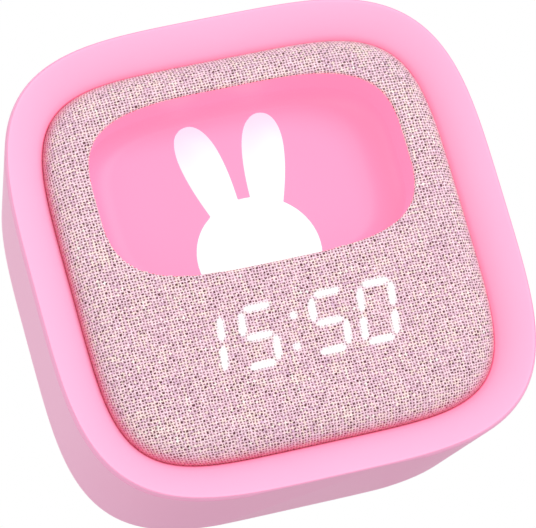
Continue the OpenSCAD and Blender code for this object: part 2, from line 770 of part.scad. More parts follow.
// Smooth bend from point a, leaving along da, to point b, arriving along db, with straight ends
wire_end = 0.2;     // straight part at each end, as a share of da and db
function curve(a, da, b, db) = [for (i = [0 : 9]) let (t = i / 9, q = 1 - t)
    q * q * q * a + 3 * q * q * t * (a + da) + 3 * q * t * t * (b - db) + t * t * t * b];
function bend(a, da, b, db) = concat([a], curve(a + wire_end * da, (1 - wire_end) * da,
    b - wire_end * db, (1 - wire_end) * db), [b]);
wire_r = 0.5;
wire_gap = 2;

connector_size = [6.4, 4.6, 4.4];
connector_z = board_z + board_size[1] / 2 - connector_size[2] / 2 - 1;
connector_x = -15;
battery_tab_z = battery_z + battery_size[1] / 2 + 2.4;
battery_tab_y = pad_y - 1.3;
module battery_leads() {
    stand() for (i = [-1, 1]) color(i < 0 ? "#c0282c" : "#222222")
        tube(bend([connector_x + 4 + i * wire_gap / 2, battery_tab_y, battery_tab_z],
            [0, 0, 1.2], [connector_x + i * wire_gap / 2, board_y - connector_size[1] / 2,
            connector_z - connector_size[2] / 2], [0, 0, 1.2]), wire_r, [0, 1, 0]);
}
module battery_connector() {
    stand() color("#f3efe6") block(connector_x, connector_z, connector_size[0],
        connector_size[2], board_y - connector_size[1], board_y);
}

lead_clear = 1.9;   // middle of the night light's leads above the battery
module night_light_leads() {
    lead_z = battery_z + battery_size[1] / 2 + lead_clear;
    stand() for (i = [-1, 1]) color(i < 0 ? "#c0282c" : "#222222")
        tube(bend([lamp_board_half - 3, lamp_board_y + small_board_t, lead_z + i],
            [0, 4, 0], [lamp_board_half + 2, board_y, lead_z + i], [0, 4, 0]),
            wire_r, [0, 0, 1]);
}

module rear_cover() {
    slot_w = slider_cap[0] + slider_travel + 2 * slider_fit;
    stand() color("#f6a6ca") difference() {
        union() {
            plate(cover_y, body_d)
                soft_face(opening_half - cover_gap, opening_half - cover_gap, rear_square);
            translate([0, 0, board_z]) at_corners(post_x, post_dz)
                rod(0, 0, board_y1, cover_y + eps, post_r);
            difference() {
                rod(0, speaker_z, cover_y - ring_wall_d, cover_y + eps,
                    speaker_r + speaker_fit + ring_wall_t, 96);
                rod(0, speaker_z, cover_y - ring_wall_d - 1, cover_y, speaker_r + speaker_fit, 96);
            }
        }
        translate([0, 0, board_z]) at_corners(post_x, post_dz)
            rod(0, 0, board_y1 - 1, board_y1 + 6, post_pilot_r);
        at_corners(boss_xz, boss_xz) {
            rod(0, 0, cover_y - 1, body_d + 1, screw_r + 0.25);
            rod(0, 0, body_d - screw_head_t - 0.1, body_d + 1, screw_head_r + 0.3);
        }
        for (k = KEYS) rod(k[1], k[2], cover_y - 1, body_d + 1, k[3] + key_fit);
        block(-port_x, port_z, slot_w, slider_cap[1] + 2 * slider_fit, cover_y - 1, body_d + 1);
        plate(cover_y - 1, body_d + 1) translate([port_x, port_z])
            oval(usb_size[0] + 2 * usb_fit, usb_size[1] + 2 * usb_fit);
        for (i = [-4 : 4]) for (j = [-4 : 4])
            let (x = (i + j / 2) * grille_pitch, z = j * grille_pitch * sqrt(3) / 2)
            if (norm([x, z]) < speaker_r - gasket_w - grille_hole)
                rod(x, speaker_z + z, cover_y - 1, body_d + 1, grille_hole / 2, 24);
    }
}

module rear_cover_screws() {
    stand() color("silver") at_corners(boss_xz, boss_xz) screw(body_d - 0.1, 1, screw_head_r,
        screw_head_t, screw_r, cover_t + 6);
}

module board_screws() {
    stand() color("silver") translate([0, 0, board_z]) at_corners(post_x, post_dz)
        screw(board_y - small_head_t, -1, small_head_r, small_head_t, small_screw_r,
            board_size[2] + 4);
}

module speaker_gasket() {
    stand() color("#333336") difference() {
        rod(0, speaker_z, cover_y - gasket_t, cover_y, speaker_r, 96);
        rod(0, speaker_z, cover_y - gasket_t - 1, cover_y + 1, speaker_r - gasket_w, 96);
    }
}

// Turned piece round the speaker's axis; its outline is [radius, y] points
module turned(x, z, outline, sides = 96) {
    translate([x, 0, z]) rotate([-90, 0, 0]) rotate_extrude($fn = sides) polygon(outline);
}

module speaker_frame() {
    stand() color("#4b4d52") turned(0, speaker_z, [
        [speaker_r - gasket_w, speaker_y + speaker_flange_t], [speaker_r, speaker_y + speaker_flange_t],
        [speaker_r, speaker_y], [speaker_r - 1.5, speaker_y], [basket_r + 0.5, basket_y],
        [basket_r - coil_r, basket_y], [basket_r - coil_r, basket_y + basket_wall],
        [basket_r, basket_y + basket_wall], [speaker_r - gasket_w, speaker_y]]);
}

module speaker_cone() {
    rim_r = speaker_r - gasket_w - 0.3;
    edge_y = speaker_y + speaker_flange_t - 0.2;
    stand() color("#1f1f22") turned(0, speaker_z, [
        [0, coil_y + 0.8], [coil_r, coil_y], [rim_r - cone_edge, edge_y - cone_t],
        [rim_r, edge_y - cone_t], [rim_r, edge_y], [rim_r - cone_edge - 0.3, edge_y],
        [coil_r, coil_y + cone_t], [0, coil_y + 0.8 + cone_t]]);
}

module speaker_magnet() {
    stand() color("#8d9096") {
        rod(0, speaker_z, basket_y - magnet_d, basket_y, magnet_r, 96);
        rod(0, speaker_z, basket_y - eps, coil_y - pole_gap, basket_r - coil_r - pole_fit, 64);
    }
}

speaker_tag_x = basket_r + tag_d;
speaker_lead_x = 26;
speaker_slack = [7, 8];
module speaker_leads() {
    stand() for (i = [-1, 1]) color(i < 0 ? "#c0282c" : "#222222")
        tube(bend([speaker_tag_x, basket_y + tag_d, speaker_z + i * wire_gap],
            [speaker_slack[0], -3, 0],
            [speaker_lead_x - i * wire_gap / 2, board_y - wire_r, board_z - board_size[1] / 2 + 2],
            [0, 0, speaker_slack[1]]), wire_r, [0, 1, 0]);
}

// Key: a round cap through the cover, a flange inside it and a stem onto its switch
module key_cap(k) {
    flange_y1 = cover_y - key_flange_gap;
    top = body_d + key_proud;
    stand() turned(k[1], k[2], [[0, plunger_y1 + 0.05], [key_stem_r, plunger_y1 + 0.05],
        [key_stem_r, flange_y1 - key_flange_t], [k[3] + key_flange_w, flange_y1 - key_flange_t],
        [k[3] + key_flange_w, flange_y1], [k[3], flange_y1], [k[3], top - key_corner],
        [k[3] - key_corner, top], [0, top]], 64);
}
module key_plunger(k) {
    stand() rod(k[1], k[2], switch_top_y - plunger_in, plunger_y1, plunger_r);
}
module light_key() { color("#fdf4f8") key_cap(KEYS[0]); }
module alarm_key() { color("#fdf4f8") key_cap(KEYS[1]); }
module set_key() { color("#fdf4f8") key_cap(KEYS[2]); }
module minus_key() { color("#fdf4f8") key_cap(KEYS[3]); }
module plus_key() { color("#fdf4f8") key_cap(KEYS[4]); }
module light_plunger() { color("#dedede") key_plunger(KEYS[0]); }
module alarm_plunger() { color("#dedede") key_plunger(KEYS[1]); }
module set_plunger() { color("#dedede") key_plunger(KEYS[2]); }
module minus_plunger() { color("#dedede") key_plunger(KEYS[3]); }
module plus_plunger() { color("#dedede") key_plunger(KEYS[4]); }

// Slider at its off end, nearer the middle of the clock
module power_slider() {
    x = -port_x + slider_travel / 2;
    flange_y1 = cover_y - key_flange_gap;
    stand() color("#fdf4f8") {
        block(x, port_z, slider_cap[0], slider_cap[1], flange_y1 - eps, body_d + slider_proud);
        block(x, port_z, slider_flange[0], slider_flange[1], flange_y1 - 1, flange_y1);
        block(x, port_z, slider_stem[0], slider_stem[1],
            board_y1 + slide_switch_size[1] - 1.2, flange_y1 - 1 + eps);
    }
}

housing();
rear_cover();
grille_frame();
fabric_cover();
niche_shell();
night_light_figure();
light_box();
night_light_board();
night_light_leds();
night_light_screws();
night_light_leads();
display_block();
display_segments();
display_board();
display_screws();
display_ribbon();
ribbon_sockets();
main_board();
controller_chip();
clock_crystal();
usb_socket();
tact_switches();
slide_switch();
battery();
battery_pad();
battery_leads();
battery_connector();
speaker_gasket();
speaker_frame();
speaker_cone();
speaker_magnet();
speaker_leads();
rear_cover_screws();
board_screws();
frame_screws();
light_key();
alarm_key();
set_key();
minus_key();
plus_key();
light_plunger();
alarm_plunger();
set_plunger();
minus_plunger();
plus_plunger();
power_slider();
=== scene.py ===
# A child's alarm clock with a night light. A tapered soft-square case leans back on its underside.
# Its front is a woven cloth on a frame, with the time display behind the cloth and a lit niche
# above it. Sizes are in millimetres, and each mesh is placed in metres.
import math
import bmesh
import bpy
import numpy as np
from mathutils import Matrix, Vector


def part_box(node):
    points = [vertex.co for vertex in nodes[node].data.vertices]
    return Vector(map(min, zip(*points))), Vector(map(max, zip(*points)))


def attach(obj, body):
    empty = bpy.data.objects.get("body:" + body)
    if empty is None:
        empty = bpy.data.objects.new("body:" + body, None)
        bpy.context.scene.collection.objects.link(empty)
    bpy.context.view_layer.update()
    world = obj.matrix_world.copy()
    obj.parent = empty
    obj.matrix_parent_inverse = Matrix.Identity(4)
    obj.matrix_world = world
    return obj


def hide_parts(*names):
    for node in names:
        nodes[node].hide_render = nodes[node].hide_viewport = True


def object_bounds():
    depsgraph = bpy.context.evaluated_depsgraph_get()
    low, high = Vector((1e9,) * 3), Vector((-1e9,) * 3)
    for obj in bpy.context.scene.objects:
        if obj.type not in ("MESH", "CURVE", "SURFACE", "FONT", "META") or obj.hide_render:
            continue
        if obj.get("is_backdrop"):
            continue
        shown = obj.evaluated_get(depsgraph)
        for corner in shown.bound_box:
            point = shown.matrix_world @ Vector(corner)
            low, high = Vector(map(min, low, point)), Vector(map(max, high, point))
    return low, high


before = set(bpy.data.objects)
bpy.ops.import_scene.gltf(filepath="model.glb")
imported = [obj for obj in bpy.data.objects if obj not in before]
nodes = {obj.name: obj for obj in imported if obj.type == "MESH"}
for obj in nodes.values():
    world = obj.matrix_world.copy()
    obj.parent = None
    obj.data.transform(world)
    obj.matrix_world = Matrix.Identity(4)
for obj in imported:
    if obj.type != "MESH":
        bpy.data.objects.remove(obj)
cad_box = [list(corner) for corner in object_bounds()]
mm = 0.001

# Camera: a long lens low on the clock's left, rolled a little, so that the clock's left side and
# its underside show beside the front.
camera_place = (-0.28392, -1.07836, -0.12370)
camera_right = Vector((0.946419, -0.211300, -0.244211))
camera_up = Vector((0.198801, -0.214762, 0.956215))
camera_back = Vector((-0.254493, -0.953535, -0.161254))
camera_data = bpy.data.cameras.new("camera")
camera_data.lens, camera_data.sensor_width = 308.3, 36
camera_data.clip_start, camera_data.clip_end = 0.05, 20
camera = bpy.data.objects.new("camera", camera_data)
bpy.context.scene.collection.objects.link(camera)
turn = Matrix((camera_right, camera_up, camera_back)).transposed().to_4x4()
camera.matrix_world = Matrix.Translation(camera_place) @ turn
bpy.context.scene.camera = camera

# Studio: a tent of even light, which looks pure white but lights the clock less, and three soft
# lamps. The strongest is high on the right.
def colour(code):
    """Linear colour of an sRGB hex value."""
    parts = [int(code[i:i + 2], 16) / 255 for i in (1, 3, 5)]
    return [p / 12.92 if p <= 0.04045 else ((p + 0.055) / 1.055) ** 2.4 for p in parts] + [1.0]


mode_names = {"Mix": "data_type", "MapRange": "interpolation_type"}


def feed(tree, node, inputs):
    """Sets inputs to values, hex colours, outputs, or nodes by their first output in use."""
    for name, value in inputs.items():
        if isinstance(value, str):
            value = colour(value)
        if isinstance(value, bpy.types.Node):
            value = next(output for output in value.outputs if output.enabled)
        if isinstance(value, bpy.types.NodeSocket):
            tree.links.new(value, node.inputs[name])
        else:
            node.inputs[name].default_value = value


def add(tree, kind, inputs=None, mode=None, **settings):
    """Adds a node. Its mode is its data type, its kind of interpolation, or its operation."""
    made = tree.nodes.new("ShaderNode" + kind)
    if mode:
        setattr(made, mode_names.get(kind, "operation"), mode)
    for name, value in settings.items():
        setattr(made, name, value)
    feed(tree, made, inputs or {})
    return made


def new_material(name):
    """A material, its node tree, and the principled shader that makes its surface."""
    made = bpy.data.materials.new(name)
    made.use_nodes = True
    return made, made.node_tree, made.node_tree.nodes["Principled BSDF"]


world = bpy.data.worlds.new("studio")
bpy.context.scene.world = world
world.use_nodes = True
tree = world.node_tree
path = add(tree, "LightPath").outputs
seen = add(tree, "Math", {0: path["Is Camera Ray"], 1: path["Is Glossy Ray"]}, "MAXIMUM")
seen = add(tree, "Math", {0: seen, 1: path["Is Transmission Ray"]}, "MAXIMUM")
level = add(tree, "MapRange", {"Value": seen, "To Min": 0.62, "To Max": 1.0})
feed(tree, tree.nodes["Background"], {"Color": "#ffffff", "Strength": level})
bpy.context.scene.view_settings.view_transform = "Standard"
clock_middle = Vector((0, 0, 0.06))
for name, place, watts, size in (("key_lamp", (1.05, -2.0, 0.9), 30.0, 1.4),
        ("low_lamp", (-0.9, -1.9, -0.9), 7.5, 1.4), ("left_lamp", (-1.3, -0.2, 0.5), 2.6, 0.9)):
    lamp = bpy.data.lights.new(name, "AREA")
    lamp.energy, lamp.shape, lamp.size = watts, "DISK", size
    holder = bpy.data.objects.new(name, lamp)
    bpy.context.scene.collection.objects.link(holder)
    aim = (clock_middle - Vector(place)).to_track_quat("-Z", "Y").to_matrix().to_4x4()
    holder.matrix_world = Matrix.Translation(place) @ aim

# Floor: pale paper, just below the base. It is clear from below, and lets light up to the
# underside, because the camera looks up past it.
floor_w, floor_z = 6, -0.0002
pale_paper, tree, skin = new_material("pale_backdrop_paper")
tree.nodes.remove(skin)
mixed = add(tree, "MixShader", {0: add(tree, "NewGeometry").outputs["Backfacing"],
    1: add(tree, "BsdfDiffuse", {"Color": "#f4f3f4"}), 2: add(tree, "BsdfTransparent")})
feed(tree, tree.nodes["Material Output"], {"Surface": mixed})
bpy.ops.object.select_all(action="DESELECT")
bpy.ops.mesh.primitive_plane_add(size=floor_w, location=(0, 0, floor_z))
floor = bpy.context.object
floor.name = "floor"
bpy.ops.object.transform_apply()
floor.data.materials.append(pale_paper)
floor.visible_diffuse = False
floor.visible_shadow = False
floor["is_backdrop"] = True

# Case: one moulding of ABS with a soft-touch coat. It tapers to the back, has a narrow chamfer
# round its rim, a dished bezel, a crease that the cloth's frame sits in, and a ledge for the back
# cover. Its underside is cut flat where the clock stands.
body_w, rear_w, body_d = 120, 110.6, 46.5
case_wall, bezel_wall = 2.4, 3
rim_round, rear_round = 1.5, 4
bezel_w, bezel_drop = 10, 3.5
rim_square, front_square, rear_square = 3.85, 4.8, 4
base_flat = 0.35
skirt_d, flange_t, flange_w = 4.5, 2, 4.5
cover_t, ledge_w, ledge_t, ledge_slope_d = 2.4, 2, 2.6, 6.4
boss_inset, boss_r = 11.3, 3.75
rim_half, rear_half = body_w / 2, rear_w / 2
rear_mid_y = body_d - rear_round
taper = (rim_half - rear_half) / rear_mid_y
lean = math.atan(taper)
crease_half = rim_half - bezel_w
flange_y = bezel_drop + skirt_d
flange_y1 = flange_y + flange_t
cover_y = body_d - cover_t
opening_half = rear_half - rear_round
ledge_half = opening_half - ledge_w
boss_xz = opening_half - boss_inset
front_reach = -(rim_half - rim_round) * math.sin(lean) - rim_round
rear_reach = rear_mid_y * math.cos(lean) + opening_half * math.sin(lean) + rear_round
stand_height = rim_half * math.cos(lean) - base_flat
stand = (Matrix.Translation((0, -(front_reach + rear_reach) / 2 * mm, stand_height * mm))
    @ Matrix.Rotation(-lean, 4, "X"))
around = 160               # points in a soft-square ring
corner_pull = math.radians(5.5)


def soft_size(x, z, square):
    """Half the width of the soft square that goes through a point, or through each of many."""
    return (abs(x) ** square + abs(z) ** square) ** (1 / square)


def soft_ring(half_w, y, square, half_h=None, mid_z=0.0):
    """Points of a soft-square section, with more of them at its corners."""
    points = []
    for i in range(around):
        t = 2 * math.pi * i / around
        p = t + corner_pull * math.sin(4 * t)
        c, s = math.cos(p), math.sin(p)
        r = 1 / soft_size(c, s, square)
        points.append(Vector((half_w * r * c, y, mid_z + (half_h or half_w) * r * s)) * mm)
    return points


def choose(*pieces):
    """Selects these pieces alone, with the first as the active one."""
    bpy.ops.object.select_all(action="DESELECT")
    for piece in pieces:
        piece.select_set(True)
    bpy.context.view_layer.objects.active = pieces[0]


def edit(piece, select="DESELECT"):
    """Goes into edit mode on one piece, with nothing or all of it selected."""
    choose(piece)
    bpy.ops.object.mode_set(mode="EDIT")
    bpy.ops.mesh.select_all(action=select)


def done():
    bpy.ops.object.mode_set(mode="OBJECT")


def circle(name, count):
    """An upright circle of points, which a piece is drawn from."""
    bpy.ops.object.select_all(action="DESELECT")
    bpy.ops.mesh.primitive_circle_add(vertices=count, radius=1, rotation=(math.pi / 2, 0, 0))
    piece = bpy.context.object
    piece.name = piece.data.name = name
    bpy.ops.object.transform_apply()
    return piece


def loft(name, rings, cap_first=False, cap_last=False):
    """A circle extruded from section to section, each loop set on its section by angle."""
    piece = circle(name, len(rings[0]))
    edit(piece, "SELECT")
    if cap_first:
        bpy.ops.mesh.edge_face_add()
    middle = Vector()
    for number, ring in enumerate(rings):
        if number == 1 and cap_first:
            bpy.ops.mesh.extrude_edges_move()
        elif number:
            bpy.ops.mesh.extrude_region_move()
        mesh = bmesh.from_edit_mesh(piece.data)
        loop = [v for v in mesh.verts if v.select]
        loop.sort(key=lambda v: (math.atan2(v.co.z - middle.z, v.co.x - middle.x) + 0.01)
            % (2 * math.pi))
        for vertex, place in zip(loop, ring):
            vertex.co = place
        middle = sum(ring, Vector()) / len(ring)
        bmesh.update_edit_mesh(piece.data)
    if cap_last:
        bpy.ops.mesh.edge_face_add()
    bpy.ops.mesh.select_all(action="SELECT")
    bpy.ops.mesh.remove_doubles(threshold=0.00001)
    bpy.ops.mesh.normals_make_consistent(inside=False)
    done()
    return piece


def lean_back(piece):
    """Leans an upright piece onto the clock's base, and leaves its place in its mesh."""
    piece.matrix_world = stand
    choose(piece)
    bpy.ops.object.transform_apply()
    return piece


def join(*pieces):
    """Joins pieces into the first of them."""
    choose(*pieces)
    bpy.ops.object.join()
    return pieces[0]


def smooth(piece, degrees=30):
    choose(piece)
    bpy.ops.object.shade_smooth_by_angle(angle=math.radians(degrees))
    return piece


def fix(piece, body, slot, *replaced):
    """Says which body carries a new piece, and hides the nodes that it stands for. Its slot is not
    used.
    """
    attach(piece, body)
    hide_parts(*replaced)


def finish(material, *pieces):
    """Gives pieces, or CAD nodes by name, their material."""
    for piece in pieces:
        data = (nodes[piece] if isinstance(piece, str) else piece).data
        data.materials.clear()
        data.materials.append(material)


def store(piece, name, values):
    """Keeps a value for each vertex, for the piece's material to read."""
    kept = piece.data.attributes.new(name, "FLOAT", "POINT")
    kept.data.foreach_set("value", values)


def arc(first, last, count):
    """Angles in radians, evenly spaced, given in degrees."""
    return [math.radians(first + (last - first) * k / count) for k in range(count + 1)]


def wall_half(y):
    return rim_half - taper * y


def case_square(y):
    return rim_square + (rear_square - rim_square) * min(max(y / rear_mid_y, 0), 1)


chamfer_w, seam_d = 0.45, 0.3      # a fine line runs along both edges of the chamfer
rim_land, rim_step = chamfer_w + 0.45, 0.02
bezel_steps, dish = 20, 0.45
crease_round, crease_lip = 0.12, 0.15
side_depths, inner_wall_y = (38, 33, 28, 23, 18, 13, 8, 4, 1.6), 5
# The rim's profile: how far each ring lies in from the side, and how far behind the rim's front.
rim_profile = ((0, rim_round), (seam_d, rim_round - 0.25), (0.01, rim_round - 0.5),
    (0.06, rim_round - 0.6), (chamfer_w - 0.15, 0.12), (chamfer_w - 0.05, 0.04),
    (chamfer_w, seam_d / 2), (chamfer_w + 0.05, 0), (chamfer_w + 0.25, 0), (rim_land, rim_step))
rings = [soft_ring(opening_half + rear_round * math.sin(t), rear_mid_y + rear_round * math.cos(t),
    rear_square) for t in arc(0, 90, 9)]
rings += [soft_ring(wall_half(y), y, case_square(y)) for y in side_depths]
rings += [soft_ring(rim_half - inset, back - rim_round, rim_square) for inset, back in rim_profile]
for k in range(1, bezel_steps):
    u = k / bezel_steps
    rings.append(soft_ring(rim_half - rim_land - u * (bezel_w - rim_land),
        rim_step - rim_round + (bezel_drop + rim_round) * ((1 - dish) * u + dish * u * u),
        rim_square + (front_square - rim_square) * u))
rings += [soft_ring(crease_half + crease_round * (1 - math.sin(t)),
    bezel_drop - crease_lip + crease_round * (1 - math.cos(t)), front_square)
    for t in arc(15, 90, 3)]
core, flange_in = crease_half + case_wall, crease_half - flange_w
rings += [soft_ring(half, y, front_square) for half, y in ((crease_half, flange_y),
    (flange_in, flange_y), (flange_in, flange_y1), (core, flange_y1),
    (core, bezel_drop + bezel_wall))]
rings += [soft_ring(wall_half(y) - case_wall, y, case_square(y))
    for y in (inner_wall_y, cover_y - ledge_t - ledge_slope_d)]
rings += [soft_ring(half, y, rear_square) for half, y in ((ledge_half, cover_y - ledge_t),
    (ledge_half, cover_y), (opening_half, cover_y), (opening_half, body_d))]
case = loft("soft_touch_case", rings)

# The red by the crease is painted shade; this is how far it reaches up the bezel.
crease_shade_reach = 3           # how far the crease's red goes up the bezel
near_crease = []
for vertex in case.data.vertices:
    half = soft_size(vertex.co.x / mm, vertex.co.z / mm, front_square)
    near = max(0.0, 1 - abs(crease_half - half) / crease_shade_reach)
    near_crease.append(near if vertex.co.y < flange_y * mm else 0.0)
store(case, "near_crease", near_crease)
lean_back(case)
edit(case, "SELECT")
bpy.ops.mesh.bisect(plane_co=(0, 0, 0), plane_no=(0, 0, 1), use_fill=True, clear_inner=True,
    threshold=1e-7)
bpy.ops.mesh.select_all(action="SELECT")
bpy.ops.mesh.delete_loose(use_verts=True, use_edges=True, use_faces=False)
done()
bosses = []
for x in (-boss_xz, boss_xz):
    for z in (-boss_xz, boss_xz):
        bpy.ops.object.select_all(action="DESELECT")
        bpy.ops.mesh.primitive_cylinder_add(vertices=40, radius=boss_r * mm,
            depth=(cover_y - flange_y1) * mm, rotation=(math.pi / 2, 0, 0),
            location=(x * mm, (cover_y + flange_y1) / 2 * mm, z * mm))
        bpy.ops.object.transform_apply()
        bosses.append(lean_back(bpy.context.object))
join(case, *bosses)
smooth(case, 35)
fix(case, "case", "soft_touch_case", "housing")

# Soft-touch coat: a matt polyurethane paint, pale at a grazing angle, with a very fine grain. By the
# crease it is painted redder and darker: painted shade and light bounced where pink faces pink.
coat, tree, skin = new_material("soft_touch_coat")
where = add(tree, "TexCoord").outputs["Object"]
patches = add(tree, "TexNoise", {"Vector": where, "Scale": 1 / (35 * mm), "Detail": 2.0})
grain = add(tree, "TexNoise", {"Vector": where, "Scale": 1 / (0.45 * mm), "Detail": 3.0,
    "Roughness": 0.6})
tint = add(tree, "Mix", {0: patches, 6: "#fcb0d4", 7: "#fdb4d8"}, "RGBA")
crease = add(tree, "Attribute", attribute_name="near_crease").outputs["Fac"]
# Painted shade: the coat turns redder and darker in two steps towards the crease.
for start, end, most, code in ((0.5, 1.0, 0.3, "#fb80a8"), (0.88, 0.98, 1.0, "#f6658f")):
    painted_crease_shade = add(tree, "MapRange", {"Value": crease, "From Min": start, "From Max": end,
        "To Max": most}, "SMOOTHSTEP")
    tint = add(tree, "Mix", {0: painted_crease_shade, 6: tint, 7: code}, "RGBA")
rough = add(tree, "MapRange", {"Value": grain, "To Min": 0.5, "To Max": 0.66})
bump = add(tree, "Bump", {"Height": grain, "Strength": 0.35, "Distance": 0.03 * mm})
feed(tree, skin, {"Base Color": tint, "Roughness": rough, "IOR": 1.46, "Sheen Weight": 0.4,
    "Sheen Roughness": 0.4, "Sheen Tint": "#ffe9f4", "Normal": bump})
finish(coat, case)

# Cloth front: melange polyester in plain weave, cut to a soft square and stretched over the
# frame's rounded edge into the crease. At the window its edge is turned in, as far as the frame.
thread_u, thread_v = 0.78, 0.73    # distance between upright threads, and between level ones
cloth_rise, cloth_round, cloth_t = 2.4, 7.5, 0.3
dome_square, window_square = 4.4, 3.5
window_side, window_top, window_sill = 20.6, 19.1, -4.6
cloth_fit = 0.04           # gap between the cloth and the crease's wall
fold_r, edge_d = 0.4, 0.8  # bend of the edge at the window, and how deep it goes
skirt_y = 7.3              # where the cloth ends in the crease
front_half = crease_half - cloth_fit
flat_half = front_half - cloth_round
window_w = body_w - 2 * window_side
window_h = rim_half - window_top - window_sill
window_z = window_sill + window_h / 2
dome_rise = bezel_drop + cloth_rise
bend_steps = np.linspace(0, math.pi / 2, 400)
bend_arc = np.concatenate([[0], np.cumsum(np.hypot(cloth_round * np.cos(bend_steps[1:]),
    dome_rise * np.sin(bend_steps[1:])) * bend_steps[1])])
bend_length = bend_arc[-1]
reach = flat_half + bend_length + skirt_y - bezel_drop
fold_length = fold_r * math.pi / 2 + edge_d - fold_r
threads = 2 * math.ceil(reach / thread_v)
bpy.ops.object.select_all(action="DESELECT")
bpy.ops.mesh.primitive_grid_add(x_subdivisions=2 * threads, y_subdivisions=2 * threads,
    size=2 * threads)
cloth = bpy.context.object
cloth.name = cloth.data.name = "woven_cloth_front"


def outline_reach(u, v):
    """Size of the soft square through each flat point, squarer towards the cloth's edge."""
    square = np.full_like(u, dome_square)
    for _ in range(3):
        r = soft_size(u, v, square)
        share = np.clip((r - flat_half) / bend_length, 0, 1)
        square = dome_square + (front_square - dome_square) * share
    return r


def from_window(u, v):
    """Distance from the window's edge, the nearest point on it, and the way out from it."""
    a, b, n = window_w / 2, window_h / 2, window_square
    x, z = u.copy(), v - window_z
    for _ in range(4):
        p, q = np.abs(x / a) + 1e-9, np.abs(z / b) + 1e-9
        k = soft_size(p, q, n)
        gx = np.sign(x) * k ** (1 - n) * p ** (n - 1) / a
        gz = np.sign(z) * k ** (1 - n) * q ** (n - 1) / b
        size = np.hypot(gx, gz) + 1e-12
        step = (k - 1) / size
        x, z = x - step * gx / size, z - step * gz / size
    way_x, way_z = gx / size, gz / size
    far = (u - x) * way_x + (v - window_z - z) * way_z
    return far, x, z + window_z, way_x, way_z


def coordinates(mesh):
    values = np.empty(len(mesh.vertices) * 3)
    mesh.vertices.foreach_get("co", values)
    return values.reshape(-1, 3)


def put(mesh, *places):
    """Sets a mesh's vertices from their X, Y and Z in millimetres."""
    mesh.vertices.foreach_set("co", np.stack(places, axis=1).ravel() * mm)
    mesh.update()


# The grid is turned by 45 degrees, so it has a vertex on each crossing of two threads, where both
# counts of threads are whole, and one in each hole between them, where both are halves.
counts = np.rint(coordinates(cloth.data))
u, v = (counts[:, 0] - counts[:, 1]) / 2 * thread_u, (counts[:, 0] + counts[:, 1]) / 2 * thread_v
put(cloth.data, u, v, 0 * u)
cut = np.minimum(reach - outline_reach(u, v), from_window(u, v)[0] - (fold_r - fold_length))
trim = 0.15 * thread_v     # a face may stand this far past the edge, and is trimmed to it
edit(cloth)
mesh = bmesh.from_edit_mesh(cloth.data)
mesh.verts.ensure_lookup_table()
for face in mesh.faces:
    face.select = bool(min(cut[w.index] for w in face.verts) < -trim)
bmesh.update_edit_mesh(cloth.data)
bpy.ops.mesh.delete(type="FACE")
bpy.ops.mesh.select_all(action="SELECT")
bpy.ops.mesh.delete_loose()
done()

# The edge is trimmed to its line, and each vertex goes from its place in the flat cloth to its
# place on the frame: straight over the front, round the edges by the length of the bend.
flat = coordinates(cloth.data) / mm
u, v = flat[:, 0].copy(), flat[:, 1].copy()
column, row = np.floor(u / thread_u + 0.25).astype(int), np.floor(v / thread_v + 0.25).astype(int)
in_hole = np.abs(u / thread_u - column) > 0.25
edge_uses = np.zeros(len(cloth.data.edges), int)
for loop in cloth.data.loops:
    edge_uses[loop.edge_index] += 1
rim_edge = np.zeros(len(u), bool)
for edge in cloth.data.edges:
    if edge_uses[edge.index] == 1:
        rim_edge[list(edge.vertices)] = True
far, x, z, way_x, way_z = from_window(u, v)
by_window = rim_edge & (far < fold_r)
u[by_window] = (x + way_x * (fold_r - fold_length))[by_window]
v[by_window] = (z + way_z * (fold_r - fold_length))[by_window]
by_skirt = rim_edge & (far > fold_r)
shrink = reach / outline_reach(u, v)
u[by_skirt] *= shrink[by_skirt]
v[by_skirt] *= shrink[by_skirt]
put(cloth.data, u, v, 0 * u)

past = np.maximum(outline_reach(u, v) - flat_half, 0)
turned = np.interp(past, bend_arc, bend_steps)
square = dome_square + (front_square - dome_square) * turned / (math.pi / 2)
heading = np.arctan2(v, u)
c, s = np.cos(heading), np.sin(heading)
out = (flat_half + cloth_round * np.sin(turned)) / soft_size(c, s, square)
over = past > 0
place = np.stack([np.where(over, out * c, u), np.where(over, bezel_drop - dome_rise * np.cos(turned)
    + np.maximum(past - bend_length, 0), -cloth_rise), np.where(over, out * s, v)], axis=1)
far, x, z, way_x, way_z = from_window(u, v)
folded = far < fold_r
tip = np.minimum((fold_r - far) / fold_r, math.pi / 2)
inside = np.maximum(fold_r - far - fold_r * math.pi / 2, 0)
place[folded, 0] = (x + way_x * fold_r * (1 - np.sin(tip)))[folded]
place[folded, 1] = (-cloth_rise + fold_r * (1 - np.cos(tip)) + inside)[folded]
place[folded, 2] = (z + way_z * fold_r * (1 - np.sin(tip)))[folded]
put(cloth.data, *place.T)
flat_map = cloth.data.uv_layers.active or cloth.data.uv_layers.new(name="flat_cloth")
flat_map.name = "flat_cloth"
corners = np.empty(len(cloth.data.loops), int)
cloth.data.loops.foreach_get("vertex_index", corners)
spread = 2 * reach
flat_map.data.foreach_set("uv", np.stack([u[corners] / spread + 0.5, v[corners] / spread + 0.5],
    axis=1).ravel())

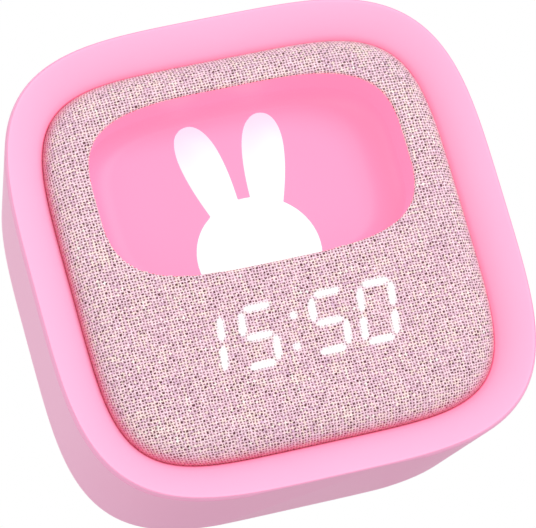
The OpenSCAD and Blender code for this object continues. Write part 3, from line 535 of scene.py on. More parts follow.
# Weave: threads stand out where they cross, and sink at the holes between them. In a plain weave
# every second hole is tighter, and each thread is a little thicker or thinner than the next.
crossing_y, open_hole_y, tight_hole_y, cut_edge_y = 0.01, -0.19, -0.06, -0.05
thread_spread = 0.03
normals = np.empty(len(u) * 3)
cloth.data.vertices.foreach_get("normal", normals)
normals = normals.reshape(-1, 3)
if (normals[:, 1] * (turned < 0.5)).sum() > 0:
    cloth.data.flip_normals()
    normals = -normals
weave = np.random.RandomState(7)
thick_across = weave.uniform(-thread_spread, thread_spread, 2 * threads + 3)
thick_up = weave.uniform(-thread_spread, thread_spread, 2 * threads + 3)
open_hole = (column + row) % 2 == 0
relief = np.where(in_hole, np.where(open_hole, open_hole_y, tight_hole_y), crossing_y)
relief += thick_across[column] + thick_up[row]
relief[rim_edge] = cut_edge_y
place += normals * relief[:, None]
put(cloth.data, *place.T)

# The time is lit from behind, and its light is painted onto the cloth. Each point of the cloth knows
# its distance from the nearest lit segment: 1, 5, colon, 5, 0.
digit_h, digit_w, segment_t = 15.9, 9.6, 1.6
lit_t, lit_gap, lit_point = 1.5, 0.6, 0.9  # thickness, gap at a corner, and length of a point
digit_slant, first_pitch, digit_pitch, pair_pitch = math.radians(9), 13.4, 12.3, 17.8
display_x, display_z = -0.7, -22.2
colon_r, colon_dz, colon_drop = 0.8, 3.9, 0.6
unlit = 9.0                # a distance past all the glow
side_x, top_z = (digit_w - segment_t) / 2, (digit_h - segment_t) / 2
bars = {"top": ((-side_x, top_z), (side_x, top_z)), "middle": ((-side_x, 0), (side_x, 0)),
    "bottom": ((-side_x, -top_z), (side_x, -top_z)),
    "left_up": ((-side_x, 0), (-side_x, top_z)), "right_up": ((side_x, 0), (side_x, top_z)),
    "left_down": ((-side_x, -top_z), (-side_x, 0)), "right_down": ((side_x, -top_z), (side_x, 0))}
one = ("right_up", "right_down")
five = ("top", "left_up", "middle", "right_down", "bottom")
zero = [name for name in bars if name != "middle"]
upright_z = v - display_z
upright_x = u - display_x - upright_z * math.tan(digit_slant)
nearest = np.full(len(u), unlit)
for digit_x, names in ((-pair_pitch / 2 - first_pitch, one), (-pair_pitch / 2, five),
        (pair_pitch / 2, five), (pair_pitch / 2 + digit_pitch, zero)):
    for name in names:
        (x0, z0), (x1, z1) = bars[name]
        half_long = (abs(x1 - x0) + abs(z1 - z0)) / 2 - lit_gap - lit_point
        dx = np.abs(upright_x - digit_x - (x0 + x1) / 2)
        dz = np.abs(upright_z - (z0 + z1) / 2)
        along, across = (dx, dz) if z0 == z1 else (dz, dx)
        beyond = np.maximum(along - half_long, 0)
        nearest = np.minimum(nearest, across - lit_t / 2 + beyond * lit_t / 2 / lit_point)
for side in (-1, 1):
    dot = np.hypot(upright_x, upright_z - side * colon_dz + colon_drop) - colon_r
    nearest = np.minimum(nearest, dot)
nearest[over | folded] = unlit
store(cloth, "from_lit_segment", nearest)
store(cloth, "depth_in_crease", place[:, 1] - bezel_drop)


def modify(piece, kind, **settings):
    """Adds a modifier and applies it."""
    choose(piece)
    modifier = piece.modifiers.new(kind.lower(), kind)
    for name, value in settings.items():
        setattr(modifier, name, value)
    bpy.ops.object.modifier_apply(modifier=modifier.name)
    return piece


lean_back(cloth)
modify(cloth, "SOLIDIFY", thickness=cloth_t * mm, offset=-1.0)
smooth(cloth, 60)
fix(cloth, "case", "woven_cloth", "fabric_cover")

# Melange yarn: each thread has its own tint of pink, lilac or cream that drifts along it, with fine
# strands. The grooves where threads dive under, the upright threads and the holes of uneven size get
# painted shade. All places are counted in threads.
wander, jitter = 0.95, 0.22        # how far threads and holes stray from their places
woven, tree, skin = new_material("melange_polyester_weave")
count = add(tree, "VectorMath", {0: add(tree, "UVMap", uv_map="flat_cloth"), 1: (0.5, 0.5, 0.0)},
    "SUBTRACT")
count = add(tree, "VectorMath", {0: count, 1: (spread / thread_u, spread / thread_v, 0.0)}, "MULTIPLY")
wave = add(tree, "TexNoise", {"Vector": count, "Scale": 0.5, "Detail": 3.0, "Roughness": 0.6})
wave = add(tree, "VectorMath", {0: wave.outputs["Color"], 1: (0.5, 0.5, 0.5)}, "SUBTRACT")
wave = add(tree, "VectorMath", {0: wave, 3: wander}, "SCALE")
count = add(tree, "VectorMath", {0: count, 1: wave}, "ADD")
crossing = add(tree, "VectorMath", {0: count, 1: (0.5, 0.5, 0.5)}, "ADD")
crossing = add(tree, "VectorMath", {0: crossing}, "FLOOR")
offset = add(tree, "VectorMath", {0: count, 1: crossing}, "SUBTRACT")
offset = add(tree, "VectorMath", {0: offset}, "ABSOLUTE")
offset = add(tree, "SeparateXYZ", {0: offset})
number = add(tree, "SeparateXYZ", {0: crossing}).outputs
parity = add(tree, "Math", {0: number[0], 1: number[1]}, "ADD")
parity = add(tree, "Math", {0: parity, 1: 2.0}, "FLOORED_MODULO")
ways = []
# Painted shade: the upright threads are drawn a little darker than the level ones, for how the light
# falls on them.
for seed, stretch, fibre, painted_thread_shade in ((3.1, (1.0, 0.12, 1.0), (2.0, 0.5, 1.0), 0.06),
        (8.1, (0.12, 1.0, 1.0), (0.5, 2.0, 1.0), 0.0)):
    thread = add(tree, "VectorMath", {0: crossing, 1: stretch}, "MULTIPLY")
    shade = add(tree, "TexNoise", {"Vector": thread, "Scale": 0.83, "Detail": 2.0,
        "Roughness": 0.7, "W": seed}, noise_dimensions="4D")
    ramp = add(tree, "ValToRGB", {0: shade})
    shades = ramp.color_ramp.elements
    shades[0].position, shades[0].color = 0.28, colour("#e2bcd6")
    shades[1].position, shades[1].color = 0.72, colour("#fffaf5")
    for position, code in ((0.4, "#f1cbdb"), (0.5, "#fcdce8"), (0.6, "#ffe4de")):
        shades.new(position).color = colour(code)
    strands = add(tree, "VectorMath", {0: count, 1: fibre}, "MULTIPLY")
    strands = add(tree, "TexNoise", {"Vector": strands, "Scale": 1.0, "Detail": 1.0})
    strands = add(tree, "MapRange", {"Value": strands, "To Min": 0.73 - painted_thread_shade, "To Max": 1.33 - painted_thread_shade})
    ways.append(add(tree, "VectorMath", {0: ramp, 3: strands}, "SCALE"))
top_thread = add(tree, "Mix", {0: parity, 6: ways[0], 7: ways[1]}, "RGBA")
sides = [add(tree, "MapRange", {"Value": offset.outputs[axis], "From Min": 0.1, "From Max": 0.42},
    "SMOOTHSTEP") for axis in (0, 1)]
groove = add(tree, "Math", {0: sides[0], 1: sides[1]}, "MINIMUM")
# Painted shade: the cloth is darker in the grooves where a thread dives under the other.
tint = add(tree, "Mix", {0: groove, 6: top_thread, 7: "#d9b4c0"}, "RGBA", blend_type="MULTIPLY")

# Holes between the threads: each is a square a little off its place, of its own size and depth, and
# every second one is tighter. They are painted dark, as painted shade in the gaps.
hole_number = add(tree, "VectorMath", {0: count}, "FLOOR")
chance = add(tree, "TexWhiteNoise", {"Vector": hole_number})
middle = add(tree, "VectorMath", {0: chance.outputs["Color"], 1: (jitter, jitter, 0.0),
    2: hole_number}, "MULTIPLY_ADD")
middle = add(tree, "VectorMath", {0: middle, 1: (0.5 - jitter / 2, 0.5 - jitter / 2, 0.0)}, "ADD")
apart = add(tree, "VectorMath", {0: count, 1: middle}, "SUBTRACT")
apart = add(tree, "SeparateXYZ", {0: add(tree, "VectorMath", {0: apart}, "ABSOLUTE")})
apart = add(tree, "Math", {0: apart.outputs[0], 1: apart.outputs[1]}, "MAXIMUM")
smaller = add(tree, "SeparateXYZ", {0: chance.outputs["Color"]}).outputs[2]
apart = add(tree, "Math", {0: smaller, 1: 0.12, 2: apart}, "MULTIPLY_ADD")
tight = add(tree, "VectorMath", {0: hole_number, 1: (1.0, 1.0, 0.0)}, "DOT_PRODUCT")
tight = add(tree, "Math", {0: tight, 1: 2.0}, "FLOORED_MODULO")
apart = add(tree, "Math", {0: tight, 1: 0.1, 2: apart}, "MULTIPLY_ADD")
hole = add(tree, "MapRange", {"Value": apart, "From Min": 0.52, "From Max": 0.27}, "SMOOTHSTEP")
depth = add(tree, "MapRange", {"Value": chance, "To Min": 0.5, "To Max": 1.1})
hole = add(tree, "Math", {0: hole, 1: depth}, "MULTIPLY", use_clamp=True)
# Painted shade: the holes are painted a dark brownish red, darker in the deeper ones.
tint = add(tree, "Mix", {0: hole, 6: tint, 7: "#5e3238"}, "RGBA")

# Down its edge the cloth is painted with the crease's red, as painted shade. The light of the lit
# segments behind it is painted on it in white, and the threads make its edge uneven.
sunk = add(tree, "Attribute", attribute_name="depth_in_crease").outputs["Fac"]
# Painted shade: the cloth turns red down its edge into the crease.
painted_cloth_crease_shade = add(tree, "MapRange", {"Value": sunk, "From Min": -3.9, "From Max": 0.2, "To Max": 0.85},
    "SMOOTHSTEP")
tint = add(tree, "Mix", {0: painted_cloth_crease_shade, 6: tint, 7: "#ea5880"}, "RGBA")
ragged = add(tree, "Attribute", attribute_name="from_lit_segment").outputs["Fac"]
ragged = add(tree, "Math", {0: groove, 1: 0.08, 2: ragged}, "MULTIPLY_ADD")
ragged = add(tree, "Math", {0: hole, 1: 0.1, 2: ragged}, "MULTIPLY_ADD")
# Painted light: near a lit segment the cloth is painted white and made to glow faintly, for the light
# coming through it.
glow = add(tree, "MapRange", {"Value": ragged, "From Min": 0.8, "From Max": -0.5}, "SMOOTHSTEP")
tint = add(tree, "Mix", {0: glow, 6: tint, 7: "#fffafc"}, "RGBA")
power = add(tree, "Math", {0: glow, 1: 0.12}, "MULTIPLY")
height = add(tree, "Math", {0: groove, 1: 0.3, 2: hole}, "MULTIPLY_ADD")
bump = add(tree, "Bump", {"Height": height, "Strength": 0.4, "Distance": 0.08 * mm}, invert=True)
feed(tree, skin, {"Base Color": tint, "Roughness": 0.85, "IOR": 1.5, "Specular IOR Level": 0.25,
    "Sheen Weight": 0.3, "Sheen Roughness": 0.5, "Sheen Tint": "#ffeef4",
    "Emission Color": "#fffbfd", "Emission Strength": power, "Normal": bump})
finish(woven, cloth)

# Niche: a tray of satin pink ABS with concave corners. Its neck stands in the frame's window, up
# to the cloth, and its flange is glued behind the frame. Its back wall is cut out for the figure.
frame_t, niche_gap, niche_d = 2, 0.1, 14.7
niche_t, neck_t, niche_flange_w, niche_flange_t = 1.6, 0.8, 1.9, 1.6
niche_end, niche_roof, niche_bend = 8, 3, 5
figure_fit, cut_past = 0.15, 3
frame_y = edge_d - cloth_rise
neck_y, niche_y = frame_y + niche_gap, frame_y + frame_t + niche_gap
niche_back_y = niche_d - cloth_rise


def window_ring(grow, y):
    return soft_ring(window_w / 2 + grow, y, window_square, window_h / 2 + grow, window_z)


def bend_rings(wall):
    """Rings from the window's size to the back wall, on the inside, or a wall's thickness out."""
    rings = []
    for t in arc(0, 90, 18):
        rise, run = wall * math.cos(t), 1 - math.cos(t)
        rings.append(soft_ring(window_w / 2 - niche_end * run + rise,
            niche_back_y - niche_bend + (niche_bend + wall) * math.sin(t), window_square,
            window_h / 2 - niche_roof * run + rise, window_z))
    return rings


half_neck = neck_t / 2
rings = bend_rings(0)[::-1] + [window_ring(half_neck * (1 - math.cos(t)),
    neck_y + half_neck * (1 - math.sin(t))) for t in arc(0, 180, 6)]
rings += [window_ring(grow, y) for grow, y in ((neck_t, niche_y), (niche_flange_w, niche_y),
    (niche_flange_w, niche_y + niche_flange_t), (niche_t, niche_y + niche_flange_t))]
niche = loft("niche_bowl", rings + bend_rings(niche_t), cap_first=True, cap_last=True)


def flat_outline(piece, back=False):
    """A flat end of a node as a loop of points in order, upright: its front, or its back."""
    shape = bmesh.new()
    shape.from_mesh(piece.data)
    shape.transform(stand.inverted())
    bmesh.ops.remove_doubles(shape, verts=shape.verts, dist=0.005 * mm)
    end = (max if back else min)(w.co.y for w in shape.verts)
    faces = {f for f in shape.faces if all(abs(w.co.y - end) < 0.02 * mm for w in f.verts)}
    follows = {}
    for corner in (corner for f in faces for corner in f.loops):
        if sum(g in faces for g in corner.edge.link_faces) == 1:
            after = corner.link_loop_next.vert
            follows[corner.vert.index] = (after.index, corner.vert.co.copy())
    start = at = next(iter(follows))
    line = []
    while not line or at != start:
        line.append(follows[at][1])
        at = follows[at][0]
    shape.free()
    middle = sum(line, Vector()) / len(line)
    turn = sum((a - middle).cross(b - middle).y for a, b in zip(line, line[1:] + line[:1]))
    return line if turn < 0 else line[::-1]


def slab(name, line, y0, y1):
    """A circle set on a drawn outline, filled, and extruded from one depth to another."""
    piece = circle(name, len(line))
    for vertex, point in zip(piece.data.vertices, line):
        vertex.co = (point.x, y0 * mm, point.z)
    edit(piece, "SELECT")
    bpy.ops.mesh.edge_face_add()
    bpy.ops.mesh.extrude_region_move(TRANSFORM_OT_translate={"value": (0, (y1 - y0) * mm, 0)})
    bpy.ops.mesh.select_all(action="SELECT")
    bpy.ops.mesh.normals_make_consistent(inside=False)
    done()
    return piece


def grown(line, size):
    """A drawn outline moved outwards by a distance."""
    moved = []
    for a, b, c in zip(line[-1:] + line[:-1], line, line[1:] + line[:1]):
        along = (c - a).normalized()
        moved.append(b + Vector((along.z, 0, -along.x)) * size * mm)
    return moved


def boolean(piece, cutter, operation):
    modify(piece, "BOOLEAN", object=cutter, operation=operation, solver="EXACT")
    bpy.data.objects.remove(cutter)


figure_line = flat_outline(nodes["night_light_figure"])
boolean(niche, slab("figure_cut", grown(figure_line, figure_fit), niche_y,
    niche_back_y + cut_past), "DIFFERENCE")
lean_back(niche)
smooth(niche, 40)
fix(niche, "case", "niche_plastic", "niche_shell")

# Satin ABS: a fine grain leaves it a soft gloss. Its wall is thin and the lamps are close behind it;
# it is given a painted glow, painted light that makes its own shadows faint.
satin_pink, tree, skin = new_material("satin_moulded_abs")
where = add(tree, "TexCoord").outputs["Object"]
grain = add(tree, "TexNoise", {"Vector": where, "Scale": 1 / (0.6 * mm), "Detail": 2.0})
flow = add(tree, "TexNoise", {"Vector": where, "Scale": 1 / (28 * mm), "Detail": 1.0})
tint = add(tree, "Mix", {0: flow, 6: "#fb5d84", 7: "#fd6289"}, "RGBA")
bump = add(tree, "Bump", {"Height": grain, "Strength": 0.2, "Distance": 0.02 * mm})
# Painted light: a pink emission makes the niche glow and fills in its own shadows.
feed(tree, skin, {"Base Color": tint, "Roughness": 0.42, "IOR": 1.53, "Specular IOR Level": 0.35,
    "Emission Color": "#ff9cc1", "Emission Strength": 0.57, "Normal": bump})
finish(satin_pink, niche)

# Figure of the night light: a plain rabbit shape in opal acrylic, pushed in from behind until its
# lip meets the niche's back wall. Its face is almost flush with that wall.
figure_t, lip_t, figure_round = 0.3, 1.2, 0.12
lip_y = niche_back_y + niche_t + niche_gap


def round_edges(piece, width, degrees=60):
    """Rounds the edges that are sharper than an angle."""
    return modify(piece, "BEVEL", width=width * mm, segments=2, limit_method="ANGLE",
        angle_limit=math.radians(degrees))


figure = slab("opal_rabbit_lamp", figure_line, niche_back_y - figure_t, lip_y + lip_t / 2)
boolean(figure, slab("figure_lip", flat_outline(nodes["night_light_figure"], back=True),
    lip_y, lip_y + lip_t), "UNION")
lean_back(figure)
round_edges(figure, figure_round)
smooth(figure)
fix(figure, "case", "opal_figure", "night_light_figure")

# Opal acrylic, evenly lit from behind: near white, and faintly lilac towards the ear tips, which
# are further from the lamps.
lilac_from, lilac_to = 80, 97      # heights
opal, tree, skin = new_material("lit_opal_acrylic")
where = add(tree, "TexCoord").outputs["Object"]
high = add(tree, "SeparateXYZ", {0: where}).outputs[2]
rise = add(tree, "MapRange", {"Value": high, "From Min": lilac_from * mm,
    "From Max": lilac_to * mm}, "SMOOTHSTEP")
cloudy = add(tree, "TexNoise", {"Vector": where, "Scale": 1 / (9 * mm), "Detail": 1.0})
cloudy = add(tree, "MapRange", {"Value": cloudy, "To Min": 0.75, "To Max": 1.1})
amount = add(tree, "Math", {0: rise, 1: cloudy}, "MULTIPLY", use_clamp=True)
glow = add(tree, "Mix", {0: amount, 6: "#ffffff", 7: "#fdd9f4"}, "RGBA")
feed(tree, skin, {"Base Color": "#2c2a2c", "Roughness": 0.35, "IOR": 1.49,
    "Specular IOR Level": 0.3, "Emission Color": glow, "Emission Strength": 1.0})
finish(opal, figure)

# Frame under the cloth: one moulding of unpainted grey ABS, screwed to the case's flange through
# four bosses. It carries the display on four posts.
def moulded(name, shades, rough, grain, depth, **more):
    """Moulded plastic or rubber: its shade drifts a little, and a fine grain breaks its gloss."""
    made, tree, skin = new_material(name)
    where = add(tree, "TexCoord").outputs["Object"]
    drift = add(tree, "TexNoise", {"Vector": where, "Scale": 1 / (14 * mm), "Detail": 2.0})
    grains = add(tree, "TexNoise", {"Vector": where, "Scale": 1 / (grain * mm), "Detail": 3.0,
        "Roughness": 0.6})
    tint = add(tree, "Mix", {0: drift, 6: shades[0], 7: shades[1]}, "RGBA")
    gloss = add(tree, "MapRange", {"Value": grains, "To Min": rough - 0.08, "To Max": rough + 0.08})
    bump = add(tree, "Bump", {"Height": grains, "Strength": 0.5, "Distance": depth * mm})
    feed(tree, skin, {"Base Color": tint, "Roughness": gloss, "Normal": bump, **more})
    return made


finish(moulded("natural_abs", ("#cfcac6", "#dad5d1"), 0.5, 0.5, 0.02, IOR=1.53), "grille_frame")

# Lamp box of the night light: one moulding of white polystyrene, whose walls throw the light
# forwards. It is screwed to the frame together with the lamps' board.
finish(moulded("white_reflector_polystyrene", ("#f0f0ee", "#f6f6f5"), 0.4, 0.8, 0.01, IOR=1.59),
    "light_box")

# Boards: glass-epoxy laminate, each held by four screws. The lamps' board has a white mask, which
# reflects. The display's and the main board have the usual green mask.
def circuit_board(name, mask, track, pitch):
    """Glass-epoxy board: solder mask over copper tracks, which show as a paler, raised net."""
    made, tree, skin = new_material(name)
    where = add(tree, "TexCoord").outputs["Object"]
    cells = add(tree, "TexVoronoi", {"Vector": where, "Scale": 1 / (pitch * mm)},
        distance="CHEBYCHEV", feature="DISTANCE_TO_EDGE")
    line = add(tree, "MapRange", {"Value": cells, "From Min": 0.1, "From Max": 0.06})
    tint = add(tree, "Mix", {0: line, 6: mask, 7: track}, "RGBA")
    bump = add(tree, "Bump", {"Height": line, "Strength": 0.4, "Distance": 0.03 * mm})
    feed(tree, skin, {"Base Color": tint, "Roughness": 0.3, "Coat Weight": 0.4,
        "Coat Roughness": 0.15, "Normal": bump})
    return made


finish(circuit_board("white_masked_board", "#e7ece6", "#f1f4ef", 3.5), "night_light_board")
finish(circuit_board("green_masked_board", "#1f5c39", "#2f7a4c", 2.5), "display_board",
    "main_board")

# Lamps: nine white surface-mount lamps, soldered to their board. The silicone over them is yellow
# with phosphor.
finish(moulded("phosphor_silicone", ("#f7e3a0", "#fbecb8"), 0.3, 0.3, 0.01, **{
    "Emission Color": "#fff1dc", "Emission Strength": 0.6}), "night_light_leds")

# Display block: a light guide of white epoxy, which stands on the display's board. Each bar of the
# time is a segment with a milky face.
finish(moulded("white_filled_epoxy", ("#e9e3e4", "#f2edee"), 0.45, 0.6, 0.01), "display_block")
finish(moulded("milky_segment_epoxy", ("#fbf4f7", "#fffafc"), 0.25, 0.4, 0.005, **{
    "Emission Color": "#fff7fb", "Emission Strength": 0.9}), "display_segments")

# Small screws: pan-head self-tapping screws in zinc-plated steel, one set for each board and one
# for the frame.
def plated(name, shades, rough, scratch):
    """Plated or bare metal, with fine scratches that stretch its reflections."""
    made, tree, skin = new_material(name)
    where = add(tree, "TexCoord").outputs["Object"]
    squeezed = add(tree, "Mapping", {"Vector": where, "Scale": (1.0, 1.0, 0.12)})
    marks = add(tree, "TexNoise", {"Vector": squeezed, "Scale": 1 / (scratch * mm), "Detail": 4.0})
    tint = add(tree, "Mix", {0: marks, 6: shades[0], 7: shades[1]}, "RGBA")
    gloss = add(tree, "MapRange", {"Value": marks, "To Min": rough - 0.1, "To Max": rough + 0.12})
    feed(tree, skin, {"Base Color": tint, "Roughness": gloss, "Metallic": 1.0})
    return made


finish(plated("zinc_plated_steel", ("#b9bcc0", "#d5d7da"), 0.3, 0.2), "night_light_screws",
    "display_screws", "frame_screws", "board_screws")

# Flat cable: white polyester film over a row of flat copper conductors. The wave repeats each
# 2 * pi / 20 of its scale's unit, so that they lie 0.63 mm apart.
flat_cable, tree, skin = new_material("polyester_flat_cable")
where = add(tree, "TexCoord").outputs["Object"]
rows = add(tree, "TexWave", {"Vector": where, "Scale": 0.5 / mm}, bands_direction="X").outputs["Fac"]
strip = add(tree, "Mix", {0: rows, 6: "#f3f3f2", 7: "#cfc8bf"}, "RGBA")
feed(tree, skin, {"Base Color": strip, "Roughness": 0.3})
finish(flat_cable, "display_ribbon")

# Sockets and plug: moulded in cream nylon. The flat cable has a socket at each end, and the
# battery's leads have a plug.
finish(moulded("cream_nylon", ("#f0e8d6", "#f6efe0"), 0.45, 0.4, 0.01), "ribbon_sockets",
    "battery_connector")

# Controller: a chip in black moulded epoxy. Crystal and slide switch: drawn cans, plated with
# nickel. All three are soldered to the main board.
finish(moulded("black_mould_epoxy", ("#222226", "#2b2b30"), 0.55, 0.15, 0.01), "controller_chip")
finish(plated("nickel_plated_can", ("#c4c4c0", "#dcdcd8"), 0.25, 0.3), "clock_crystal",
    "slide_switch")

# Tact switches: black nylon bodies, soldered to the main board. Each has a plunger of grey acetal,
# which its key pushes.
key_names = ("light", "alarm", "set", "minus", "plus")
finish(moulded("black_nylon", ("#2f2f33", "#3a3a3f"), 0.5, 0.3, 0.01), "tact_switches")
finish(moulded("grey_acetal", ("#d4d4d4", "#dedede"), 0.35, 0.4, 0.01),
    *[name + "_plunger" for name in key_names])

# Battery: a flat lithium pouch in creased aluminium foil, with a pad of black foam behind it. The
# speaker's gasket is of the same foam.
foil, tree, skin = new_material("creased_pouch_foil")
where = add(tree, "TexCoord").outputs["Object"]
creases = add(tree, "TexVoronoi", {"Vector": where, "Scale": 1 / (5 * mm)}, feature="F1")
soft = add(tree, "TexNoise", {"Vector": where, "Scale": 1 / (3 * mm), "Detail": 3.0})
lumps = add(tree, "Math", {0: creases, 1: soft}, "MULTIPLY")
bump = add(tree, "Bump", {"Height": lumps, "Strength": 0.4, "Distance": 0.2 * mm})
tint = add(tree, "Mix", {0: soft, 6: "#a9adb4", 7: "#c9ccd2"}, "RGBA")
feed(tree, skin, {"Base Color": tint, "Metallic": 1.0, "Roughness": 0.38, "Normal": bump})
finish(foil, "battery")
finish(moulded("closed_cell_foam", ("#404044", "#505055"), 0.85, 0.5, 0.12), "battery_pad",
    "speaker_gasket")

# Wires: red and black stranded leads to the battery, the lamps and the speaker. Each pair has the
# direction from one of its wires to the other.
def wire_pair(name, across, middle):
    """PVC-insulated wires side by side: red on one side of a plane between them, black beyond."""
    made, tree, skin = new_material(name)
    where = add(tree, "TexCoord").outputs["Object"]
    place = add(tree, "VectorMath", {0: where, 1: across}, "DOT_PRODUCT")
    beyond = add(tree, "Math", {0: place, 1: middle}, "GREATER_THAN")
    scuffs = add(tree, "TexNoise", {"Vector": where, "Scale": 1 / (1.5 * mm), "Detail": 2.0})
    tint = add(tree, "Mix", {0: beyond, 6: "#b3262b", 7: "#222224"}, "RGBA")
    gloss = add(tree, "MapRange", {"Value": scuffs, "To Min": 0.35, "To Max": 0.55})
    feed(tree, skin, {"Base Color": tint, "Roughness": gloss, "IOR": 1.53})
    return made


for name, across in (("battery_leads", (1, 0, 0)), ("night_light_leads", (0, 0, 1)),
        ("speaker_leads", (-1, 0, 0.63))):
    low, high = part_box(name)
    middle = (Vector(low) + Vector(high)).dot(Vector(across)) / 2
    finish(wire_pair("pvc_insulation_" + name, across, middle), name)

# Speaker: a pressed steel basket, a ribbed black paper cone and a ferrite magnet, pressed onto a
# foam ring behind the grille.
finish(plated("black_phosphated_steel", ("#3c3e42", "#505258"), 0.4, 0.4), "speaker_frame")
finish(moulded("pressed_paper", ("#19191b", "#242427"), 0.8, 0.35, 0.06), "speaker_cone")
finish(moulded("sintered_ferrite", ("#4a4b50", "#5c5d62"), 0.6, 0.3, 0.03), "speaker_magnet")


# Back cover: a flat moulding of pink ABS with a fine spark-eroded grain, rounded at its edges. It
# drops onto the case's ledge, and carries the main board on four posts.
def softened(node, name, width, degrees=40):
    """A merged copy of a hard-edged node, with its sharp edges rounded."""
    piece = bpy.data.objects.new(name, nodes[node].data.copy())
    piece.data.name = name
    bpy.context.scene.collection.objects.link(piece)
    edit(piece, "SELECT")
    bpy.ops.mesh.remove_doubles(threshold=0.004 * mm)
    bpy.ops.mesh.dissolve_limited(angle_limit=math.radians(0.3))
    done()
    round_edges(piece, width, degrees)
    return smooth(piece)


back = softened("rear_cover", "back_cover_panel", width=0.25)
fix(back, "case", "back_cover", "rear_cover")
finish(moulded("spark_grained_abs", ("#f49fc6", "#f7a5cb"), 0.58, 0.4, 0.05, IOR=1.53,
    **{"Specular IOR Level": 0.35}), back)

# Cover screws: four pan-head screws in bright zinc-plated steel, with cross recesses. Their heads
# are sunk in counterbores at the cover's corners.
cover_screws = softened("rear_cover_screws", "cover_pan_head_screws", width=0.22, degrees=50)
fix(cover_screws, "case", "plated_steel", "rear_cover_screws")
finish(plated("bright_zinc_screw", ("#c2c5c9", "#e0e2e4"), 0.24, 0.25), cover_screws)

# Charging inlet: a seamless drawn shell of stainless steel, soldered to the main board. Near its
# middle it is the black plastic of its tongue.
port_x, port_z = 22, 5
tongue_half_w, tongue_half_t = 3.5, 0.45
inlet = softened("usb_socket", "charging_inlet", width=0.08)
fix(inlet, "case", "plated_steel", "usb_socket")
shell = plated("drawn_stainless_shell", ("#c9cacb", "#dededf"), 0.25, 0.3)
tree = shell.node_tree
skin = tree.nodes["Principled BSDF"]
port = stand @ Vector((port_x * mm, 0, port_z * mm))
apart = add(tree, "Mapping", {"Vector": add(tree, "TexCoord").outputs["Object"],
    "Location": port, "Rotation": (-lean, 0, 0)}, vector_type="TEXTURE")
apart = add(tree, "VectorMath", {0: apart}, "ABSOLUTE")
apart = add(tree, "SeparateXYZ", {0: apart}).outputs
thin = add(tree, "Math", {0: apart[2], 1: tongue_half_t * mm}, "LESS_THAN")
narrow = add(tree, "Math", {0: apart[0], 1: tongue_half_w * mm}, "LESS_THAN")
tongue = add(tree, "Math", {0: thin, 1: narrow}, "MULTIPLY")
tint = add(tree, "Mix", {0: tongue, 6: skin.inputs["Base Color"].links[0].from_socket,
    7: "#1c1c1f"}, "RGBA")
metal = add(tree, "Math", {0: 1.0, 1: tongue}, "SUBTRACT")
feed(tree, skin, {"Base Color": tint, "Metallic": metal})
finish(shell, inlet)

# Keys: glossy white ABS caps with a shallow domed top, held in by a flange. Each stands on its
# switch, and has a raised mark: a moon for the night light, a bell for the alarm, a clock for
# setting, and minus and plus.
key_r, light_key_r, key_pitch, key_row_z, light_key_z = 4.5, 7, 16, 20, 34
key_proud, key_corner, corner_d, corner_drop, key_dome = 0.8, 0.6, 0.75, 0.55, 0.06
key_flange_w, key_flange_t, key_flange_gap = 1.2, 1.2, 0.2
stem_r, stem_end_r, stem_gap = 2.5, 0.8, 0.05
board_gap, switch_d, plunger_d = 8.4, 3.5, 1.6
mark_sink, mark_inset, mark_round = 0.5, 0.01, 0.05
dial_r, dial_t = 2.15, 0.42
board_y1 = cover_y - board_gap
stem_y = board_y1 + switch_d + plunger_d + stem_gap
key_flange_y1 = cover_y - key_flange_gap
key_flange_y = key_flange_y1 - key_flange_t
key_top = body_d + key_proud
corner_y = key_top - corner_d
mark_root, mark_top = key_top - mark_sink, key_top - mark_inset
key_white = moulded("glossy_white_abs", ("#fbf1f5", "#fef7fa"), 0.22, 0.5, 0.008, IOR=1.53)
mark_pink = moulded("pink_pad_print", ("#f093bd", "#f39bc3"), 0.4, 0.3, 0.006)


def round_ring(x, z, r, y, count=64):
    steps = [2 * math.pi * k / count for k in range(count)]
    return [Vector((x + r * math.cos(t), y, z + r * math.sin(t))) * mm for t in steps]


def block(points, x, z, y0, y1):
    """A block from an outline round a centre. Seen from behind, +X is on the left."""
    return slab("block", [Vector((x - px, 0, z + pz)) * mm for px, pz in points], y0, y1)


def bar(w, h):
    return [(-w / 2, -h / 2), (w / 2, -h / 2), (w / 2, h / 2), (-w / 2, h / 2)]


def arc_points(x, r, first, last, count):
    return [(x + r * math.cos(t), r * math.sin(t)) for t in arc(first, last, count)]


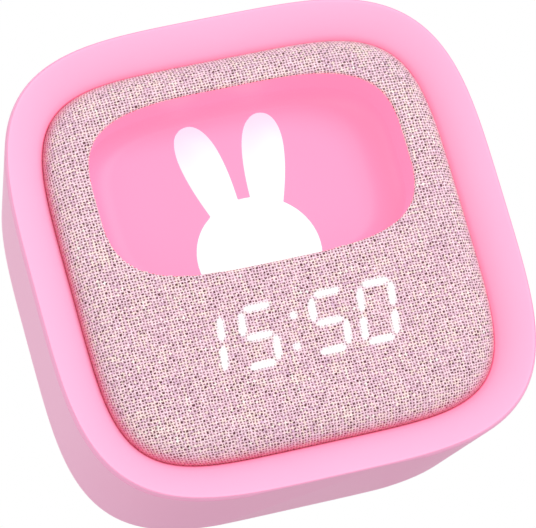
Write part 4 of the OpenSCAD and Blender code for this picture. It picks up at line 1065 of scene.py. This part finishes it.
moon = arc_points(0, 2.6, 52, 308, 30) + arc_points(1.15, 2.1, 282, 78, 24)
half_bell = [(0.45, 1.85), (1.0, 1.4), (1.25, 0.6), (1.4, -0.5), (1.85, -1.1), (1.85, -1.4),
    (0.6, -1.4), (0.35, -1.85)]
bell = half_bell + [(-px, pz) for px, pz in half_bell[::-1]]
hands = [(-0.2, -0.2), (0.95, -0.2), (0.95, 0.2), (0.2, 0.2), (0.2, 1.3), (-0.2, 1.3)]
minus = bar(3.4, 0.7)
plus, quarter = [], [(0.35, 0.35), (0.35, 1.7), (-0.35, 1.7)]
for _ in range(4):
    plus += quarter
    quarter = [(-pz, px) for px, pz in quarter]
places = [(0, light_key_z, light_key_r)] + [(k * key_pitch, key_row_z, key_r)
    for k in (-1.5, -0.5, 0.5, 1.5)]
for name, outline, (x, z, r) in zip(key_names, (moon, bell, hands, minus, plus), places):
    profile = [(stem_end_r, stem_y), (stem_r, stem_y), (stem_r, key_flange_y),
        (r + key_flange_w, key_flange_y), (r + key_flange_w, key_flange_y1), (r, key_flange_y1)]
    profile += [(r - key_corner + key_corner * math.cos(t), corner_y + corner_drop * math.sin(t))
        for t in arc(0, 75, 5)]
    profile += [(r * share, corner_y + corner_drop + key_dome * (1 - share ** 2))
        for share in (0.78, 0.6, 0.4, 0.2)]
    key = loft(name + "_key_cap", [round_ring(x, z, ring_r, y) for ring_r, y in profile],
        cap_first=True, cap_last=True)
    finish(key_white, key)
    raised = [block(outline, x, z, mark_root, mark_top)]
    if name == "set":
        raised.append(loft("dial", [round_ring(x, z, ring_r, y) for ring_r, y in (
            (dial_r, mark_root), (dial_r, mark_top), (dial_r - dial_t, mark_top),
            (dial_r - dial_t, mark_root), (dial_r, mark_root))]))
    for piece in raised:
        finish(mark_pink, round_edges(piece, mark_round))
    lean_back(join(key, *raised))
    smooth(key, 35)
    fix(key, name + "_button", "key_plastic", name + "_key")

# Power slider: the same white ABS, with four grip ridges. Its flange holds it in, its stem drives
# the slide switch, and it rests at its off end.
slider_travel, slider_proud, slider_round = 3, 0.6, 0.14
cap_w, cap_h, cap_proud = 5, 4.6, 0.25
slider_flange_w, slider_flange_h, slider_flange_t = 13, 8, 1
stem_w, stem_h, slide_switch_d, stem_in = 2, 1.6, 3.6, 1.2
ridge_w, ridge_h, ridge_pitch, ridge_sink = 0.6, 4, 1.15, 0.2
slider_x, cap_y = -port_x + slider_travel / 2, body_d + cap_proud
flange_middle = key_flange_y1 - slider_flange_t / 2
blocks = [(0, cap_w, cap_h, flange_middle, cap_y),
    (0, slider_flange_w, slider_flange_h, key_flange_y1 - slider_flange_t, key_flange_y1),
    (0, stem_w, stem_h, board_y1 + slide_switch_d - stem_in, flange_middle)]
blocks += [((k - 1.5) * ridge_pitch, ridge_w, ridge_h, cap_y - ridge_sink, body_d + slider_proud)
    for k in range(4)]
slider = join(*[block(bar(w, h), slider_x + dx, port_z, y0, y1) for dx, w, h, y0, y1 in blocks])
slider.name = slider.data.name = "power_slider_cap"
round_edges(slider, slider_round)
lean_back(slider)
smooth(slider, 35)
fix(slider, "power_switch", "key_plastic", "power_slider")
finish(key_white, slider)

size = {"cad": cad_box, "scene": [list(corner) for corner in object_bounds()]}
